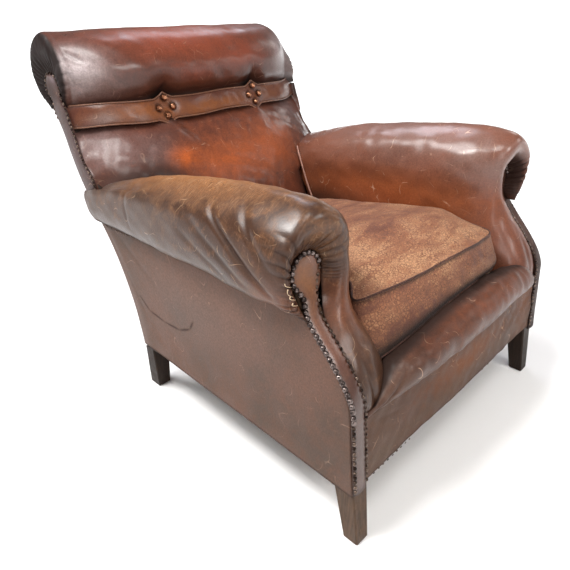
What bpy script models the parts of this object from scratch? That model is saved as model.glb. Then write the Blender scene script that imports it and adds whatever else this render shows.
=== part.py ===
"""Worn leather club chair: beech frame, webbing, springs, pads, covers, loose cushion.

Metres, +Z up. The chair faces -Y and the origin is on the floor, under the middle of its box.
Everything named left or right is made by the same function with side = -1 or +1.
"""
import math

import bmesh
import bpy
import numpy as np

# Driving dimensions: 776 mm over the arm rolls, 930 mm deep, 755 mm high
GAP = 0.0005                # clearance between touching pieces

# Front posts and the facing they carry
POST_IN, POST_OUT = 0.311, 0.3485
POST_DEPTH = 0.040
POST_TOP = 0.488
FACING_IN, FACING_OUT = 0.311, 0.353
HEAD_X, HEAD_Z, HEAD_RADIUS = 0.332, 0.463, 0.033
SKIN = 0.003                # thickness of a leather panel
LEG_TOP = 0.118             # where the covers start

# Back uprights
UPRIGHT_IN, UPRIGHT_OUT = 0.305, 0.3405
UPRIGHT_LOW_OUT = 0.3475    # the leg is wider where the covers start
UPRIGHT_TOP = 0.648

# Seat
RAIL_BOTTOM, SIDE_RAIL_TOP, FRONT_RAIL_TOP = 0.125, 0.185, 0.243
SEAT_HALF = 0.213           # half width of the loose cushion
SEAT_SPREAD = 0.042         # how much further its left front corner has been pushed
SEAT_FRONT, SEAT_BACK = -0.438, 0.092
SEAT_LEAN = 0.018           # its back edge leans with the back
LIP_SEAM = 0.253            # height of the seam between border and lip

# Back and arms
PAD_HALF = 0.2095           # half width of the back pad between the arms
BAND_LOW, BAND_HIGH = 0.569, 0.617
STUD_X = 0.135
ROLL_SINK = 0.048           # how far the top roll has sunk at its right-hand end
PANEL_TOP = 0.389           # top of the outside arm panel at the back

# Outlines seen from the side, as (height, distance back)
BACK_LINE = [(0.0, 0.155), (0.118, 0.138), (0.23, 0.163), (0.33, 0.208), (0.456, 0.292),
             (0.540, 0.341), (0.600, 0.370), (0.660, 0.372)]
PAD_LINE = [(0.235, 0.095), (0.31, 0.125), (0.38, 0.160), (0.46, 0.205), (0.52, 0.245),
            (0.569, 0.2815), (0.596, 0.292)]
BAND_LINE = [(0.560, 0.272), (0.596, 0.2865), (0.628, 0.2935)]

# Cross sections of the arm pad, as (across, height), from the outer seam over the roll to the seat
ARM_FRONT = [(0.357, 0.398), (0.381, 0.420), (0.388, 0.468), (0.372, 0.525), (0.312, 0.563),
             (0.245, 0.535), (0.217, 0.480), (0.217, 0.425), (0.220, 0.375), (0.220, 0.320),
             (0.222, 0.262)]
ARM_BACK = [(0.354, 0.391), (0.364, 0.401), (0.368, 0.424), (0.358, 0.452), (0.312, 0.467),
            (0.242, 0.455), (0.217, 0.427), (0.2165, 0.390), (0.217, 0.345), (0.218, 0.295),
            (0.220, 0.240)]
ARM_OVER_POST = [(0.3560, 0.402), (0.3665, 0.432), (0.3672, 0.470), (0.356, 0.4925),
                 (0.332, 0.4985), (0.308, 0.4925), (0.2968, 0.470), (0.2975, 0.432),
                 (0.3085, 0.385), (0.3088, 0.330), (0.3092, 0.264)]
ARM_OVER_RAIL = [(0.3508, 0.402), (0.3508, 0.415), (0.3508, 0.428), (0.347, 0.433),
                 (0.330, 0.434), (0.309, 0.433), (0.303, 0.425), (0.303, 0.400),
                 (0.303, 0.360), (0.303, 0.310), (0.303, 0.243)]
ARM_STATIONS = [0.0, 0.08, 0.24, 0.42, 0.60, 0.76, 0.80, 0.87, 0.92, 0.955, 0.98, 1.0]
RIM_SWELL = [(0.24, 0.056), (0.312, 0.048), (0.345, 0.034), (0.388, 0.022)]  # by distance across

# Cross sections of the back roll, as (distance back, height), from the band over the top to behind
ROLL_MIDDLE = [(0.2945, 0.600), (0.299, 0.618), (0.284, 0.645), (0.286, 0.690), (0.320, 0.736),
               (0.378, 0.755), (0.432, 0.741), (0.462, 0.702), (0.461, 0.662), (0.434, 0.630),
               (0.383, 0.604)]
ROLL_END = [(0.346, 0.600), (0.347, 0.618), (0.343, 0.645), (0.348, 0.690), (0.368, 0.727),
            (0.402, 0.745), (0.438, 0.734), (0.460, 0.702), (0.457, 0.664), (0.434, 0.631),
            (0.383, 0.604)]
ROLL_HOLLOW = [(0.3235, 0.601), (0.3235, 0.615), (0.3235, 0.635), (0.3245, 0.650), (0.330, 0.655),
               (0.346, 0.656), (0.362, 0.655), (0.3695, 0.650), (0.3715, 0.640), (0.3715, 0.622),
               (0.3715, 0.605)]


# ---------------------------------------------------------------- curves and numbers

def rise(value, low, high):
    """0 below low, 1 above high, and smooth between."""
    t = np.clip((np.asarray(value, float) - low) / (high - low), 0.0, 1.0)
    return t * t * (3.0 - 2.0 * t)


def through(points, value):
    """Smooth curve through (position, value) pairs, read at the given positions."""
    p = np.array(points, float)
    slope = np.gradient(p[:, 1], p[:, 0])
    v = np.asarray(value, float)
    i = np.clip(np.searchsorted(p[:, 0], v) - 1, 0, len(p) - 2)
    width = p[i + 1, 0] - p[i, 0]
    t = np.clip((v - p[i, 0]) / width, 0.0, 1.0)
    a, b = 2 * t**3 - 3 * t**2 + 1, t**3 - 2 * t**2 + t
    c, d = -2 * t**3 + 3 * t**2, t**3 - t**2
    return a * p[i, 1] + b * width * slope[i] + c * p[i + 1, 1] + d * width * slope[i + 1]


def outline(points, count, smooth=True):
    """A polyline of the given number of points along a list of corners, rounded or straight."""
    p = np.array(points, float)
    place = np.linspace(0, len(p) - 1, count)
    index = np.arange(len(p))
    columns = [p[:, 0], p[:, 1]]
    if smooth:
        columns = [through(np.stack([index, c], 1), place) for c in columns]
    else:
        columns = [np.interp(place, index, c) for c in columns]
    return np.stack(columns, 1)


def face_y(z):
    """Front line of the arm: nearly upright, with an S that steps back under the head."""
    return -0.450 + 0.10 * (np.asarray(z, float) - 0.115) + 0.103 * rise(z, 0.27, 0.455)


def back_y(z):
    """Outside back line."""
    return through(BACK_LINE, z)


def upright_y(z):
    """Front line of the back uprights, which are thinner behind the studded band."""
    return back_y(z) - 0.044 + 0.022 * rise(z, 0.45, 0.50)


# ---------------------------------------------------------------- makers

def material(name, colour, roughness, metallic=0.0):
    """A plain finish for one piece."""
    m = bpy.data.materials.new(name)
    m.use_nodes = True
    shader = m.node_tree.nodes["Principled BSDF"]
    shader.inputs["Base Color"].default_value = (*colour, 1.0)
    shader.inputs["Roughness"].default_value = roughness
    shader.inputs["Metallic"].default_value = metallic
    return m


FINISHES = {
    "leather": ((0.13, 0.045, 0.022), 0.42, 0.0),
    "suede": ((0.30, 0.15, 0.075), 0.75, 0.0),
    "beech": ((0.07, 0.030, 0.014), 0.45, 0.0),
    "canvas": ((0.45, 0.37, 0.25), 0.90, 0.0),
    "steel": ((0.30, 0.29, 0.28), 0.40, 1.0),
    "bronze": ((0.35, 0.20, 0.11), 0.30, 1.0),
}


def add(name, data, finish):
    """Puts finished mesh or curve data in the chair's collection as one named piece."""
    piece = bpy.data.objects.new(name, data)
    data.materials.append(material(name, *FINISHES[finish]))
    chair.objects.link(piece)
    return piece


def mesh_of(bm, name):
    """Turns a bmesh into mesh data with its faces pointing out."""
    bmesh.ops.recalc_face_normals(bm, faces=bm.faces)
    data = bpy.data.meshes.new(name)
    bm.to_mesh(data)
    bm.free()
    return data


def grid_faces(rows, columns, start=0):
    """Quads over a grid of points numbered row by row."""
    quads = []
    for i in range(rows - 1):
        for j in range(columns - 1):
            a = start + i * columns + j
            quads.append((a, a + 1, a + columns + 1, a + columns))
    return quads


def slab(name, outer, inner, finish):
    """A closed loft: two matching grids of points, joined all round their edges."""
    rows, columns = outer.shape[:2]
    count = rows * columns
    quads = grid_faces(rows, columns) + [q[::-1] for q in grid_faces(rows, columns, count)]
    top, bottom = range(columns), range(count - columns, count)
    left, right = range(0, count, columns), range(columns - 1, count, columns)
    for edge in (top, bottom, left, right):
        ring = list(edge)
        quads += [(a, b, b + count, a + count) for a, b in zip(ring, ring[1:])]
    data = bpy.data.meshes.new(name)
    points = np.concatenate([outer.reshape(-1, 3), inner.reshape(-1, 3)])
    data.from_pydata(points.tolist(), [], quads)
    bm = bmesh.new()
    bm.from_mesh(data)
    bpy.data.meshes.remove(data)
    return add(name, mesh_of(bm, name), finish)


def sheet(name, grid, thickness, finish):
    """A thin cover: an open grid of points, thickened half to each side."""
    rows, columns = grid.shape[:2]
    data = bpy.data.meshes.new(name)
    data.from_pydata(grid.reshape(-1, 3).tolist(), [], grid_faces(rows, columns))
    piece = add(name, data, finish)
    solid = piece.modifiers.new("Thickness", "SOLIDIFY")
    solid.thickness = thickness
    solid.offset = 0.0
    return piece


def board(name, low, high, finish="beech", bevel=0.002):
    """A box between two corners, with its edges eased."""
    bm = bmesh.new()
    bmesh.ops.create_cube(bm, size=1.0)
    low, high = np.array(low), np.array(high)
    bmesh.ops.scale(bm, vec=(high - low).tolist(), verts=bm.verts)
    bmesh.ops.translate(bm, vec=((low + high) / 2).tolist(), verts=bm.verts)
    piece = add(name, mesh_of(bm, name), finish)
    if bevel:
        ease(piece, bevel)
    return piece


def ease(piece, width):
    """Breaks the sharp edges of a wooden piece."""
    bevel = piece.modifiers.new("Eased edges", "BEVEL")
    bevel.width = width
    bevel.segments = 1
    bevel.limit_method = "ANGLE"
    bevel.angle_limit = math.radians(40)


def tube(name, points, radius, finish, sides=2):
    """A round wire or piping through the given points."""
    curve = bpy.data.curves.new(name, "CURVE")
    curve.dimensions = "3D"
    curve.bevel_depth = radius
    curve.bevel_resolution = sides
    curve.use_fill_caps = True
    spline = curve.splines.new("POLY")
    spline.points.add(len(points) - 1)
    for spot, point in zip(spline.points, points):
        spot.co = (*point, 1.0)
    return add(name, curve, finish)


def side_name(name, side):
    return f"{name}_{'right' if side > 0 else 'left'}"


def place(side, x, y, z):
    """Stacks matching arrays into points, mirrored for the left side."""
    x, y, z = np.broadcast_arrays(x, y, z)
    return np.stack([side * x, y, z], -1)


# ---------------------------------------------------------------- wooden frame

def post(name, side, heights, front, back, inner, outer):
    """A square timber lofted through rectangles at the given heights."""
    z = np.array(heights)[:, None]
    x = np.stack([inner, outer], 1)
    near = place(side, x, np.array(front)[:, None], z)
    far = place(side, x, np.array(back)[:, None], z)
    ease(slab(side_name(name, side), near, far, "beech"), 0.0025)


def front_leg(side):
    """Tapered leg that goes on upwards as the arm's post, cut to the facing's S."""
    upper = np.array([LEG_TOP + 0.002, 0.19, 0.27, 0.305, 0.335, 0.3625, 0.39, 0.42, 0.455,
                      POST_TOP])
    heights = np.concatenate([[0.0, LEG_TOP], upper])
    front = np.concatenate([[-0.460, -0.4445], face_y(upper) + SKIN + 0.0025])
    back = np.concatenate([[-0.429, -0.402], face_y(upper) + SKIN + POST_DEPTH])
    inner = np.concatenate([[0.3155], np.full(len(upper) + 1, POST_IN)])
    outer = np.concatenate([[0.3465], np.full(len(upper) + 1, POST_OUT)])
    post("front_leg", side, heights, front, back, inner, outer)


def back_leg(side):
    """Raked leg that goes on upwards as the back's upright."""
    upper = np.array([LEG_TOP + 0.002, 0.19, 0.26, 0.33, 0.40, 0.45, 0.475, 0.50, 0.56, 0.60,
                      UPRIGHT_TOP])
    heights = np.concatenate([[0.0, LEG_TOP], upper])
    front = np.concatenate([[0.133, 0.1175], upright_y(upper)])
    back = np.concatenate([[0.168, 0.146], back_y(upper) - SKIN - 0.0025])
    inner = np.concatenate([[0.303], np.full(len(upper) + 1, UPRIGHT_IN)])
    outer = np.interp(heights, [0.0, LEG_TOP, 0.38], [0.334, UPRIGHT_LOW_OUT, UPRIGHT_OUT])
    post("back_leg", side, heights, front, back, inner, outer)


def seat_rails():
    """Four rails between the legs, and a block glued into each corner."""
    z = np.linspace(RAIL_BOTTOM, FRONT_RAIL_TOP, 2)[:, None]
    x = np.array([[-1.0, 1.0]]) * (POST_IN - GAP)
    near = place(1, x, face_y(z) + 0.008, z)
    far = place(1, x, face_y(z) + 0.032, z)
    ease(slab("front_rail", near, far, "beech"), 0.002)
    inner = UPRIGHT_IN - GAP
    board("back_rail", (-inner, 0.104, RAIL_BOTTOM), (inner, 0.126, SIDE_RAIL_TOP))
    for side in (-1, 1):
        low, high = sorted((side * 0.3185, side * 0.3400))
        board(side_name("side_rail", side), (low, -0.3975, RAIL_BOTTOM),
              (high, 0.0930, SIDE_RAIL_TOP))
        corner_block("front", side, -0.4070, 1)
        corner_block("back", side, 0.1035, -1)


def corner_block(end, side, y, towards):
    """A three-cornered block across the angle of two rails."""
    reach, low, high = 0.045, RAIL_BOTTOM + 0.004, SIDE_RAIL_TOP - 0.006
    corner = np.array([0.3035 if end == "back" else 0.3095, y])
    across = corner - np.array([reach, 0])
    along = corner + np.array([0, towards * reach])
    bm = bmesh.new()
    ring = [bm.verts.new((side * p[0], p[1], low)) for p in (corner, across, along)]
    face = bm.faces.new(ring)
    lifted = bmesh.ops.extrude_face_region(bm, geom=[face])["geom"]
    top = [v for v in lifted if isinstance(v, bmesh.types.BMVert)]
    bmesh.ops.translate(bm, vec=(0, 0, high - low), verts=top)
    name = side_name(f"{end}_corner_block", side)
    add(name, mesh_of(bm, name), "beech")


def arm_rail(side):
    """Level rail from the post to the upright, under the roll."""
    low, high = sorted((side * 0.312, side * 0.345))
    board(side_name("arm_rail", side), (low, -0.2755, 0.396), (high, 0.2080, 0.426))


def back_rails():
    """Top rail between the uprights and the tacking rail above the seat."""
    inner = UPRIGHT_IN - GAP
    board("top_rail", (-inner, 0.3335, 0.603), (inner, 0.3600, 0.647))
    board("back_tacking_rail", (-inner, 0.1515, 0.262), (inner, 0.1675, 0.300))


# ---------------------------------------------------------------- seat

def webbing():
    """Three straps front to back, resting on three straps side to side."""
    half, thick = 0.025, 0.0016
    for number, x in enumerate((-0.15, 0.0, 0.15), 1):
        board(f"webbing_long_{number}", (x - half, -0.4385, 0.1228),
              (x + half, 0.1260, 0.1228 + thick), "canvas", 0)
    for number, y in enumerate((-0.30, -0.14, 0.02), 1):
        board(f"webbing_cross_{number}", (-0.3425, y - half, 0.1204),
              (0.3425, y + half, 0.1204 + thick), "canvas", 0)


def spring(number, x, y, height):
    """Hourglass coil: the radius is least halfway up."""
    turns, per_turn, wire = 3.5, 9, 0.0018
    steps = np.linspace(0.0, 1.0, int(turns * per_turn) + 1)
    radius = 0.026 + 0.012 * (2.0 * steps - 1.0) ** 2
    angle = 2.0 * math.pi * turns * steps
    low = 0.1265 + wire
    z = low + (height - 2.0 * wire) * steps
    tube(f"seat_spring_{number}", np.stack([x + radius * np.cos(angle),
         y + radius * np.sin(angle), z], 1), wire, "steel")


def seat_deck(x, y):
    """Height that the cushion rests on: falls to the back and to both sides."""
    fall = 0.094 * (y - SEAT_FRONT) / 0.538
    return 0.334 - fall - 0.020 * (np.abs(x) / 0.208) ** 2


def springs_and_platform():
    """Nine springs, lower towards the back, and the stuffed platform tied down on them."""
    number = 0
    for y in (-0.30, -0.14, 0.02):
        top = float(seat_deck(SEAT_HALF, y + 0.06)) - 0.056
        for x in (-0.15, 0.0, 0.15):
            number += 1
            spring(number, x, y, top - 0.1265)
    x, y = np.meshgrid(np.linspace(-0.212, 0.212, 9), np.linspace(-0.375, 0.091, 8))
    top = place(1, x, y, seat_deck(x, y) - 0.001)
    under = place(1, x, y, seat_deck(SEAT_HALF, y + 0.01) - 0.050)
    slab("seat_platform", top, under, "canvas")


def cushion_plan(u, v, level):
    """Plan of the loose cushion: a bowed front, and one front corner pushed under the arm."""
    front = SEAT_FRONT + 0.050 * np.abs(u) ** 3 + 0.008 * np.abs(u) ** 12
    back = SEAT_BACK + SEAT_LEAN * level - 0.006 * np.abs(u) ** 6
    spread = SEAT_SPREAD * (0.4 + 0.6 * level) * (u < 0) * (1.0 - rise(v, 0.0, 0.11))
    return (SEAT_HALF + spread) * u, front + (back - front) * v


def seat_cushion():
    """Loose cushion, crowned on top, resting on the platform and the lip."""
    u = np.sin(np.linspace(-0.5, 0.5, 13) * math.pi)[None, :]
    v = (0.5 + 0.5 * np.sin(np.linspace(-0.5, 0.5, 13) * math.pi))[:, None]
    x, y = cushion_plan(u, v, 0.0)
    low = seat_deck(x, y) + GAP
    boxing = 0.082 + 0.026 * rise(v, 0.0, 0.3) - 0.010 * u**4 * (1.0 - rise(v, 0.0, 0.2))
    crown = 0.010 * (1.0 - u**4) * (1.0 - (2.0 * v - 1.0) ** 4)
    high_x, high_y = cushion_plan(u, v, 1.0)
    slab("seat_cushion", place(1, high_x, high_y, low + boxing + crown), place(1, x, y, low),
         "suede")


def lip_top(x):
    """Top of the padded lip: under the cushion, then dropping away under the arms."""
    return seat_deck(x, -0.422) - 0.0015 - 0.035 * rise(np.abs(x), 0.225, 0.315)


def front_roll():
    """Padded lip over the front rail: a roll that gets thin at both ends."""
    angle = np.radians(np.linspace(-75.0, 180.0, 11))[:, None]
    x = 0.309 * np.sin(np.linspace(-0.5, 0.5, 17) * math.pi)[None, :]
    low = LIP_SEAM + 0.0005
    size = np.maximum((lip_top(x) - low) / (1.0 + math.sin(math.radians(75.0))), 0.004)
    middle_y = -0.432 + size * math.cos(math.radians(75.0))
    middle_z = low + size * math.sin(math.radians(75.0))
    walls = [place(1, x, middle_y - 1.10 * share * size * np.cos(angle),
                   middle_z + share * size * np.sin(angle)) for share in (1.0, 0.08)]
    slab("front_roll", *walls, "leather")


def front_border():
    """Leather panel over the front rail, between the facings."""
    z = np.linspace(LEG_TOP + 0.004, LIP_SEAM - 0.004, 5)[:, None]
    x = np.linspace(-1.0, 1.0, 5)[None, :] * (FACING_IN - 0.0015)
    sheet("front_border", place(1, x, face_y(z) + 0.0045 + 0 * x, z), SKIN, "leather")


def dust_cover():
    """Thin cloth tacked under the rails, between the legs."""
    board("dust_cover", (-0.300, -0.398, 0.1182), (0.300, 0.104, 0.1195), "canvas", 0)


# ---------------------------------------------------------------- arms

def arm_pad(side):
    """Fat roll and inside arm in one: a hooked section lofted from the back to the swollen front."""
    count = 2 * len(ARM_FRONT) - 1
    t = np.array(ARM_STATIONS)[:, None]
    front, back = outline(ARM_FRONT, count), outline(ARM_BACK, count)
    over_post = outline(ARM_OVER_POST, count, smooth=False)
    over_rail = outline(ARM_OVER_RAIL, count, smooth=False)
    fall = ((1.0 - t) ** 2)[..., None]
    outer = front[None] * (1.0 - fall) + back[None] * fall
    at_post = rise(t, 0.76, 0.80)[..., None]
    inner = over_post[None] * at_post + over_rail[None] * (1.0 - at_post)
    # the inside arm sweeps out to the facing's inner edge at the front
    turn = np.clip((t - 0.85) / 0.13, 0.0, 1.0) ** 1.2
    sweep = turn * np.interp(np.arange(count), [8, 13], [0.0, 1.0])[None]
    outer[..., 0] += (0.300 - outer[..., 0]) * sweep
    # below, it clears the ends of the lip
    over_lip = lip_top(outer[..., 0]) + 0.006
    outer[..., 1] = np.maximum(outer[..., 1], over_lip * rise(t, 0.76, 0.80))
    # the rim is rounded over: its outline closes in on the facing
    outer += (inner - outer) * (0.5 * rise(t, 0.93, 1.06) / rise(1.0, 0.93, 1.06))[..., None]
    slab(side_name("arm_pad", side), arm_points(side, outer, t, 1.0),
         arm_points(side, inner, t, 0.0), "leather")


def arm_points(side, section, t, swollen):
    """Places a section's points between the upright and the front rim, which swells or doesn't."""
    x, z = section[..., 0], section[..., 1]
    beside = rise(x, 0.347, 0.358)
    end = back_y(z) - 0.001 * beside - 0.049 * (1.0 - beside)
    outside = rise(x, 0.34, 0.355)
    height = rise(z, 0.25, 0.43) * (1.0 - outside) + rise(z, 0.395, 0.47) * outside
    swell = swollen * through(RIM_SWELL, x) * height + (1.0 - swollen) * 0.002
    return place(side, x, end + (face_y(z) - swell - end) * t, z)


def arm_facing(side):
    """Narrow leather strip up the front of the arm, ending in a round head."""
    z = np.concatenate([np.linspace(LEG_TOP, 0.42, 14),
                        HEAD_Z + HEAD_RADIUS * np.sin(np.linspace(-0.9, 1.35, 9))])[:, None]
    drop = np.clip((z - HEAD_Z) / HEAD_RADIUS, -1.0, 1.0)
    neck = (FACING_OUT - FACING_IN) / 2.0
    half = np.where(z < 0.425, neck, np.maximum(HEAD_RADIUS * np.sqrt(1.0 - drop**2),
                                               np.where(drop < 0, neck, 0.0)))
    u = np.linspace(-1.0, 1.0, 5)[None, :]
    middle = (FACING_OUT + FACING_IN) / 2.0
    sheet(side_name("arm_facing", side),
          place(side, middle + half * u, face_y(z) + SKIN / 2 + 0 * u, z), SKIN, "leather")


def outside_arm(side):
    """Flat leather panel between the facing, the back edge and the seam under the roll."""
    u = np.linspace(0.0, 1.0, 6)[None, :]
    v = np.linspace(0.0, 1.0, 13)[:, None]
    bottom = 0.113 + 0.017 * u
    top = PANEL_TOP + 0.006 * (1.0 - u)
    z = bottom + (top - bottom) * v
    front, back = face_y(z) + SKIN + 0.003, back_y(z) - 0.0005
    sheet(side_name("outside_arm", side),
          place(side, 0.3508, front + (back - front) * u, z), 0.0025, "leather")


# ---------------------------------------------------------------- back

def set_back(x):
    """How far the back's front surface falls away towards its ends."""
    return 0.052 * (np.abs(x) / 0.34) ** 4


def pad_front(x, u, z):
    """Front surface of the lower pad, rounded off where it meets the arms."""
    edge = 0.008 * np.abs(u) ** 6 * (1.0 - rise(z, 0.35, 0.45))
    return through(PAD_LINE, z) + set_back(x) + edge


def back_pad():
    """Lower back pad: between the arms, then in front of the uprights, then between them."""
    z = np.linspace(0.238, 0.596, 18)[:, None]
    u = np.sin(np.linspace(-0.5, 0.5, 13) * math.pi)[None, :]
    half = PAD_HALF + 0.129 * rise(z, 0.474, 0.510) - 0.037 * rise(z, 0.535, 0.556)
    x = half * u
    front = pad_front(x, u, z)
    behind = np.maximum(upright_y(z) - 0.0025 + 0 * u, front + 0.004)
    slab("back_pad", place(1, x, front, z + 0 * u), place(1, x, behind, z + 0 * u), "leather")


def back_roll():
    """Upper roll: a hooked section round the top rail, scrolled backwards, sunk at its right end."""
    count = 2 * len(ROLL_MIDDLE) - 1
    u = np.sin(np.linspace(-0.5, 0.5, 13) * math.pi)
    middle, end = outline(ROLL_MIDDLE, count), outline(ROLL_END, count)
    hollow = outline(ROLL_HOLLOW, count, smooth=False)
    share = (np.abs(u) ** 4)[:, None, None]
    section = middle[None] * (1.0 - share) + end[None] * share
    x = 0.3445 * u[:, None]
    section[..., 1] -= ROLL_SINK * rise(x, 0.22, 0.36) * rise(section[..., 1], 0.60, 0.75)
    outer = place(1, x, section[..., 0], section[..., 1])
    inner = place(1, x, hollow[None, :, 0] + 0 * x, hollow[None, :, 1] + 0 * x)
    slab("back_roll", outer, inner, "leather")


def back_band():
    """Leather strap across the back, with a pointed tab above and below each group of studs."""
    x = np.linspace(-0.340, 0.340, 69)[None, :]
    v = np.linspace(0.0, 1.0, 4)[:, None]
    tab = np.clip(1.0 - np.abs(np.abs(x) - STUD_X) / 0.022, 0.0, 1.0)
    low = BAND_LOW + 0.003 - 0.008 * tab
    high = BAND_HIGH - 0.002 + 0.009 * tab
    z = low + (high - low) * v
    y = through(BAND_LINE, z) + set_back(x)
    sheet("back_band", place(1, x, y, z), 0.0024, "leather")


def studs():
    """Domed studs, four to a tab: a turned profile with a flat back."""
    radius, dome = 0.0072, 0.0052
    offsets = [(0.0, 0.0205), (-0.0185, 0.0), (0.0185, 0.0), (0.0, -0.0175)]
    number = 0
    for side in (-1, 1):
        for dx, dz in offsets:
            number += 1
            curve = np.linspace(0.0, 0.5 * math.pi, 5)
            rim = [(radius * math.sin(a), dome * math.cos(a)) for a in curve]
            bm = bmesh.new()
            points = [bm.verts.new((r, 0.0, h)) for r, h in rim + [(0.0, 0.0)]]
            for a, b in zip(points, points[1:]):
                bm.edges.new((a, b))
            data = bpy.data.meshes.new(f"back_stud_{number}")
            bm.to_mesh(data)
            bm.free()
            stud = add(data.name, data, "bronze")
            turn = stud.modifiers.new("Turned", "SCREW")
            turn.steps = turn.render_steps = 12
            turn.use_merge_vertices = True
            turn.merge_threshold = 0.0001
            x, z = side * STUD_X + dx, 0.5955 + dz
            y = through(BAND_LINE, z) + set_back(x)
            stud.location = (x, float(y) - 0.0040, z)
            stud.rotation_euler = (math.radians(70), 0.0, 0.0)


def back_facing(side):
    """Strip up the side of the back, with a round head in the end of the scroll."""
    head_y, head_z, radius = 0.395, 0.648, 0.030
    z = np.concatenate([np.linspace(0.470, 0.600, 8),
                        head_z + radius * np.sin(np.linspace(-1.0, 1.35, 9))])[:, None]
    u = np.linspace(0.0, 1.0, 5)[None, :]
    front = through([(0.464, 0.290), (0.51, 0.308), (0.566, 0.323), (0.608, 0.342),
                     (0.640, 0.358)], z)
    rear = np.minimum(back_y(z) - 0.0005, 0.385)
    drop = np.clip((z - head_z) / radius, -1.0, 1.0)
    round_half = radius * np.sqrt(1.0 - drop**2)
    blend = rise(z, 0.600, 0.630)
    front = front * (1.0 - blend) + (head_y - round_half) * blend
    rear = rear * (1.0 - blend) + (head_y + round_half) * blend
    sheet(side_name("back_facing", side),
          place(side, 0.3465, front + (rear - front) * u, z), 0.0026, "leather")


def outside_back():
    """Leather panel down the outside of the back, from the scroll to the back rail."""
    z = np.linspace(0.130, 0.597, 15)[:, None]
    x = np.linspace(-1.0, 1.0, 3)[None, :] * 0.3445
    sheet("outside_back", place(1, x, back_y(z) - SKIN / 2 + 0 * x, z), SKIN * 0.9, "leather")


def back_piping(side):
    """Piping down the join of the inside back and the arm."""
    z = np.linspace(0.450, 0.325, 9)
    y = pad_front(PAD_HALF, 1.0, z) - 0.002
    tube(side_name("back_piping", side),
         np.stack([side * np.full(len(z), 0.2129), y, z], 1), 0.0020, "leather", 1)


# ---------------------------------------------------------------- build

def build():
    """Makes every piece of the chair."""
    seat_rails()
    back_rails()
    webbing()
    springs_and_platform()
    seat_cushion()
    front_roll()
    front_border()
    dust_cover()
    back_pad()
    back_roll()
    back_band()
    studs()
    outside_back()
    for side in (-1, 1):
        for piece in (front_leg, back_leg, arm_rail, arm_pad, arm_facing, outside_arm,
                      back_facing, back_piping):
            piece(side)


for old in list(bpy.data.objects):
    bpy.data.objects.remove(old)
chair = bpy.data.collections.new("worn_club_chair")
bpy.context.scene.collection.children.link(chair)
build()
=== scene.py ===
"""Looks of the worn leather club chair: hide over its pads, close-set nails, stained beech, studio.

Metres, +Z up. The chair faces -Y and stands on z = 0. Each operator makes one group of pieces as
surfaces worked out with numpy; the left piece is the mirror of the right one, worn differently.
"""
import math

import bmesh
import bpy
import numpy as np
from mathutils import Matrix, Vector


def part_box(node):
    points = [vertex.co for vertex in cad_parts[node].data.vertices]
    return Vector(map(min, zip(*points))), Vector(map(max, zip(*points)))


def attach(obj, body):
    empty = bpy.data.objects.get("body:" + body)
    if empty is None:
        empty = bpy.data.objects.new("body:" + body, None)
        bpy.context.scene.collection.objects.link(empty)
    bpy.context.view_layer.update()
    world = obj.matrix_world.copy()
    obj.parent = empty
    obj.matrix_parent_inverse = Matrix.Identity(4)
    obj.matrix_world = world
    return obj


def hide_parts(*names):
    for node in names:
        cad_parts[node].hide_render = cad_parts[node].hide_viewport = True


bl_info = {
    "name": "Worn Club Chair",
    "version": (1, 0, 0),
    "blender": (4, 5, 0),
    "location": "3D View > Sidebar > Club Chair",
    "description": "Covers a packed club chair frame with old leather, nails and a loose cushion",
    "category": "Add Mesh",
}

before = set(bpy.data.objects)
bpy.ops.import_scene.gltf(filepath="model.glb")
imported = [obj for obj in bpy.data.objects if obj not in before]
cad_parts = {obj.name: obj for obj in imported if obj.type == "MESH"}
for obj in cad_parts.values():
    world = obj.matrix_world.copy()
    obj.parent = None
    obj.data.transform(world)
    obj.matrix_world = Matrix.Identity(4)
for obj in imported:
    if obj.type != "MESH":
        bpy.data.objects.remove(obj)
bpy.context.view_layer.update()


def low(node):
    """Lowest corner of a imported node."""
    return np.array(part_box(node)[0])


def high(node):
    """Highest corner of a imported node."""
    return np.array(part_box(node)[1])


# Places read from the frame
STRIP_IN = 0.322                                     # inner edge of an arm's facing strip
STRIP_OUT = float(high("outside_arm_right")[0]) + 0.001
STRIP_LOW = float(low("arm_facing_right")[2])
HEAD_R = 0.5 * float(high("arm_facing_right")[0] - low("arm_facing_right")[0])
HEAD_X = float(high("arm_facing_right")[0]) - HEAD_R - 0.008
HEAD_Z = float(high("arm_facing_right")[2]) - HEAD_R - 0.009
PANEL_X = float(high("outside_arm_right")[0])
BORDER_LOW = float(low("front_border")[2])
BAND_LOW = float(low("back_band")[2]) + 0.008
BAND_HIGH = float(high("back_band")[2]) - 0.009
STUD_X = 0.5 * float(low("back_stud_5")[0] + high("back_stud_5")[0])
BACK_HALF = float(high("back_roll")[0])
HIDE = 0.0022                                        # thickness of a flat hide
CUSHION_HALF = 0.2125                                # half width of the cushion without its ear
FRONT_HALF = 0.3205                                  # half width of the lip and the border
SIDE_X = 0.3458                                      # plane of the back's side strips
STUD_Z = 0.5955                                      # height of the middle of four studs
SCROLL_Z = 0.648                                     # height of the round heads of the back

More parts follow.
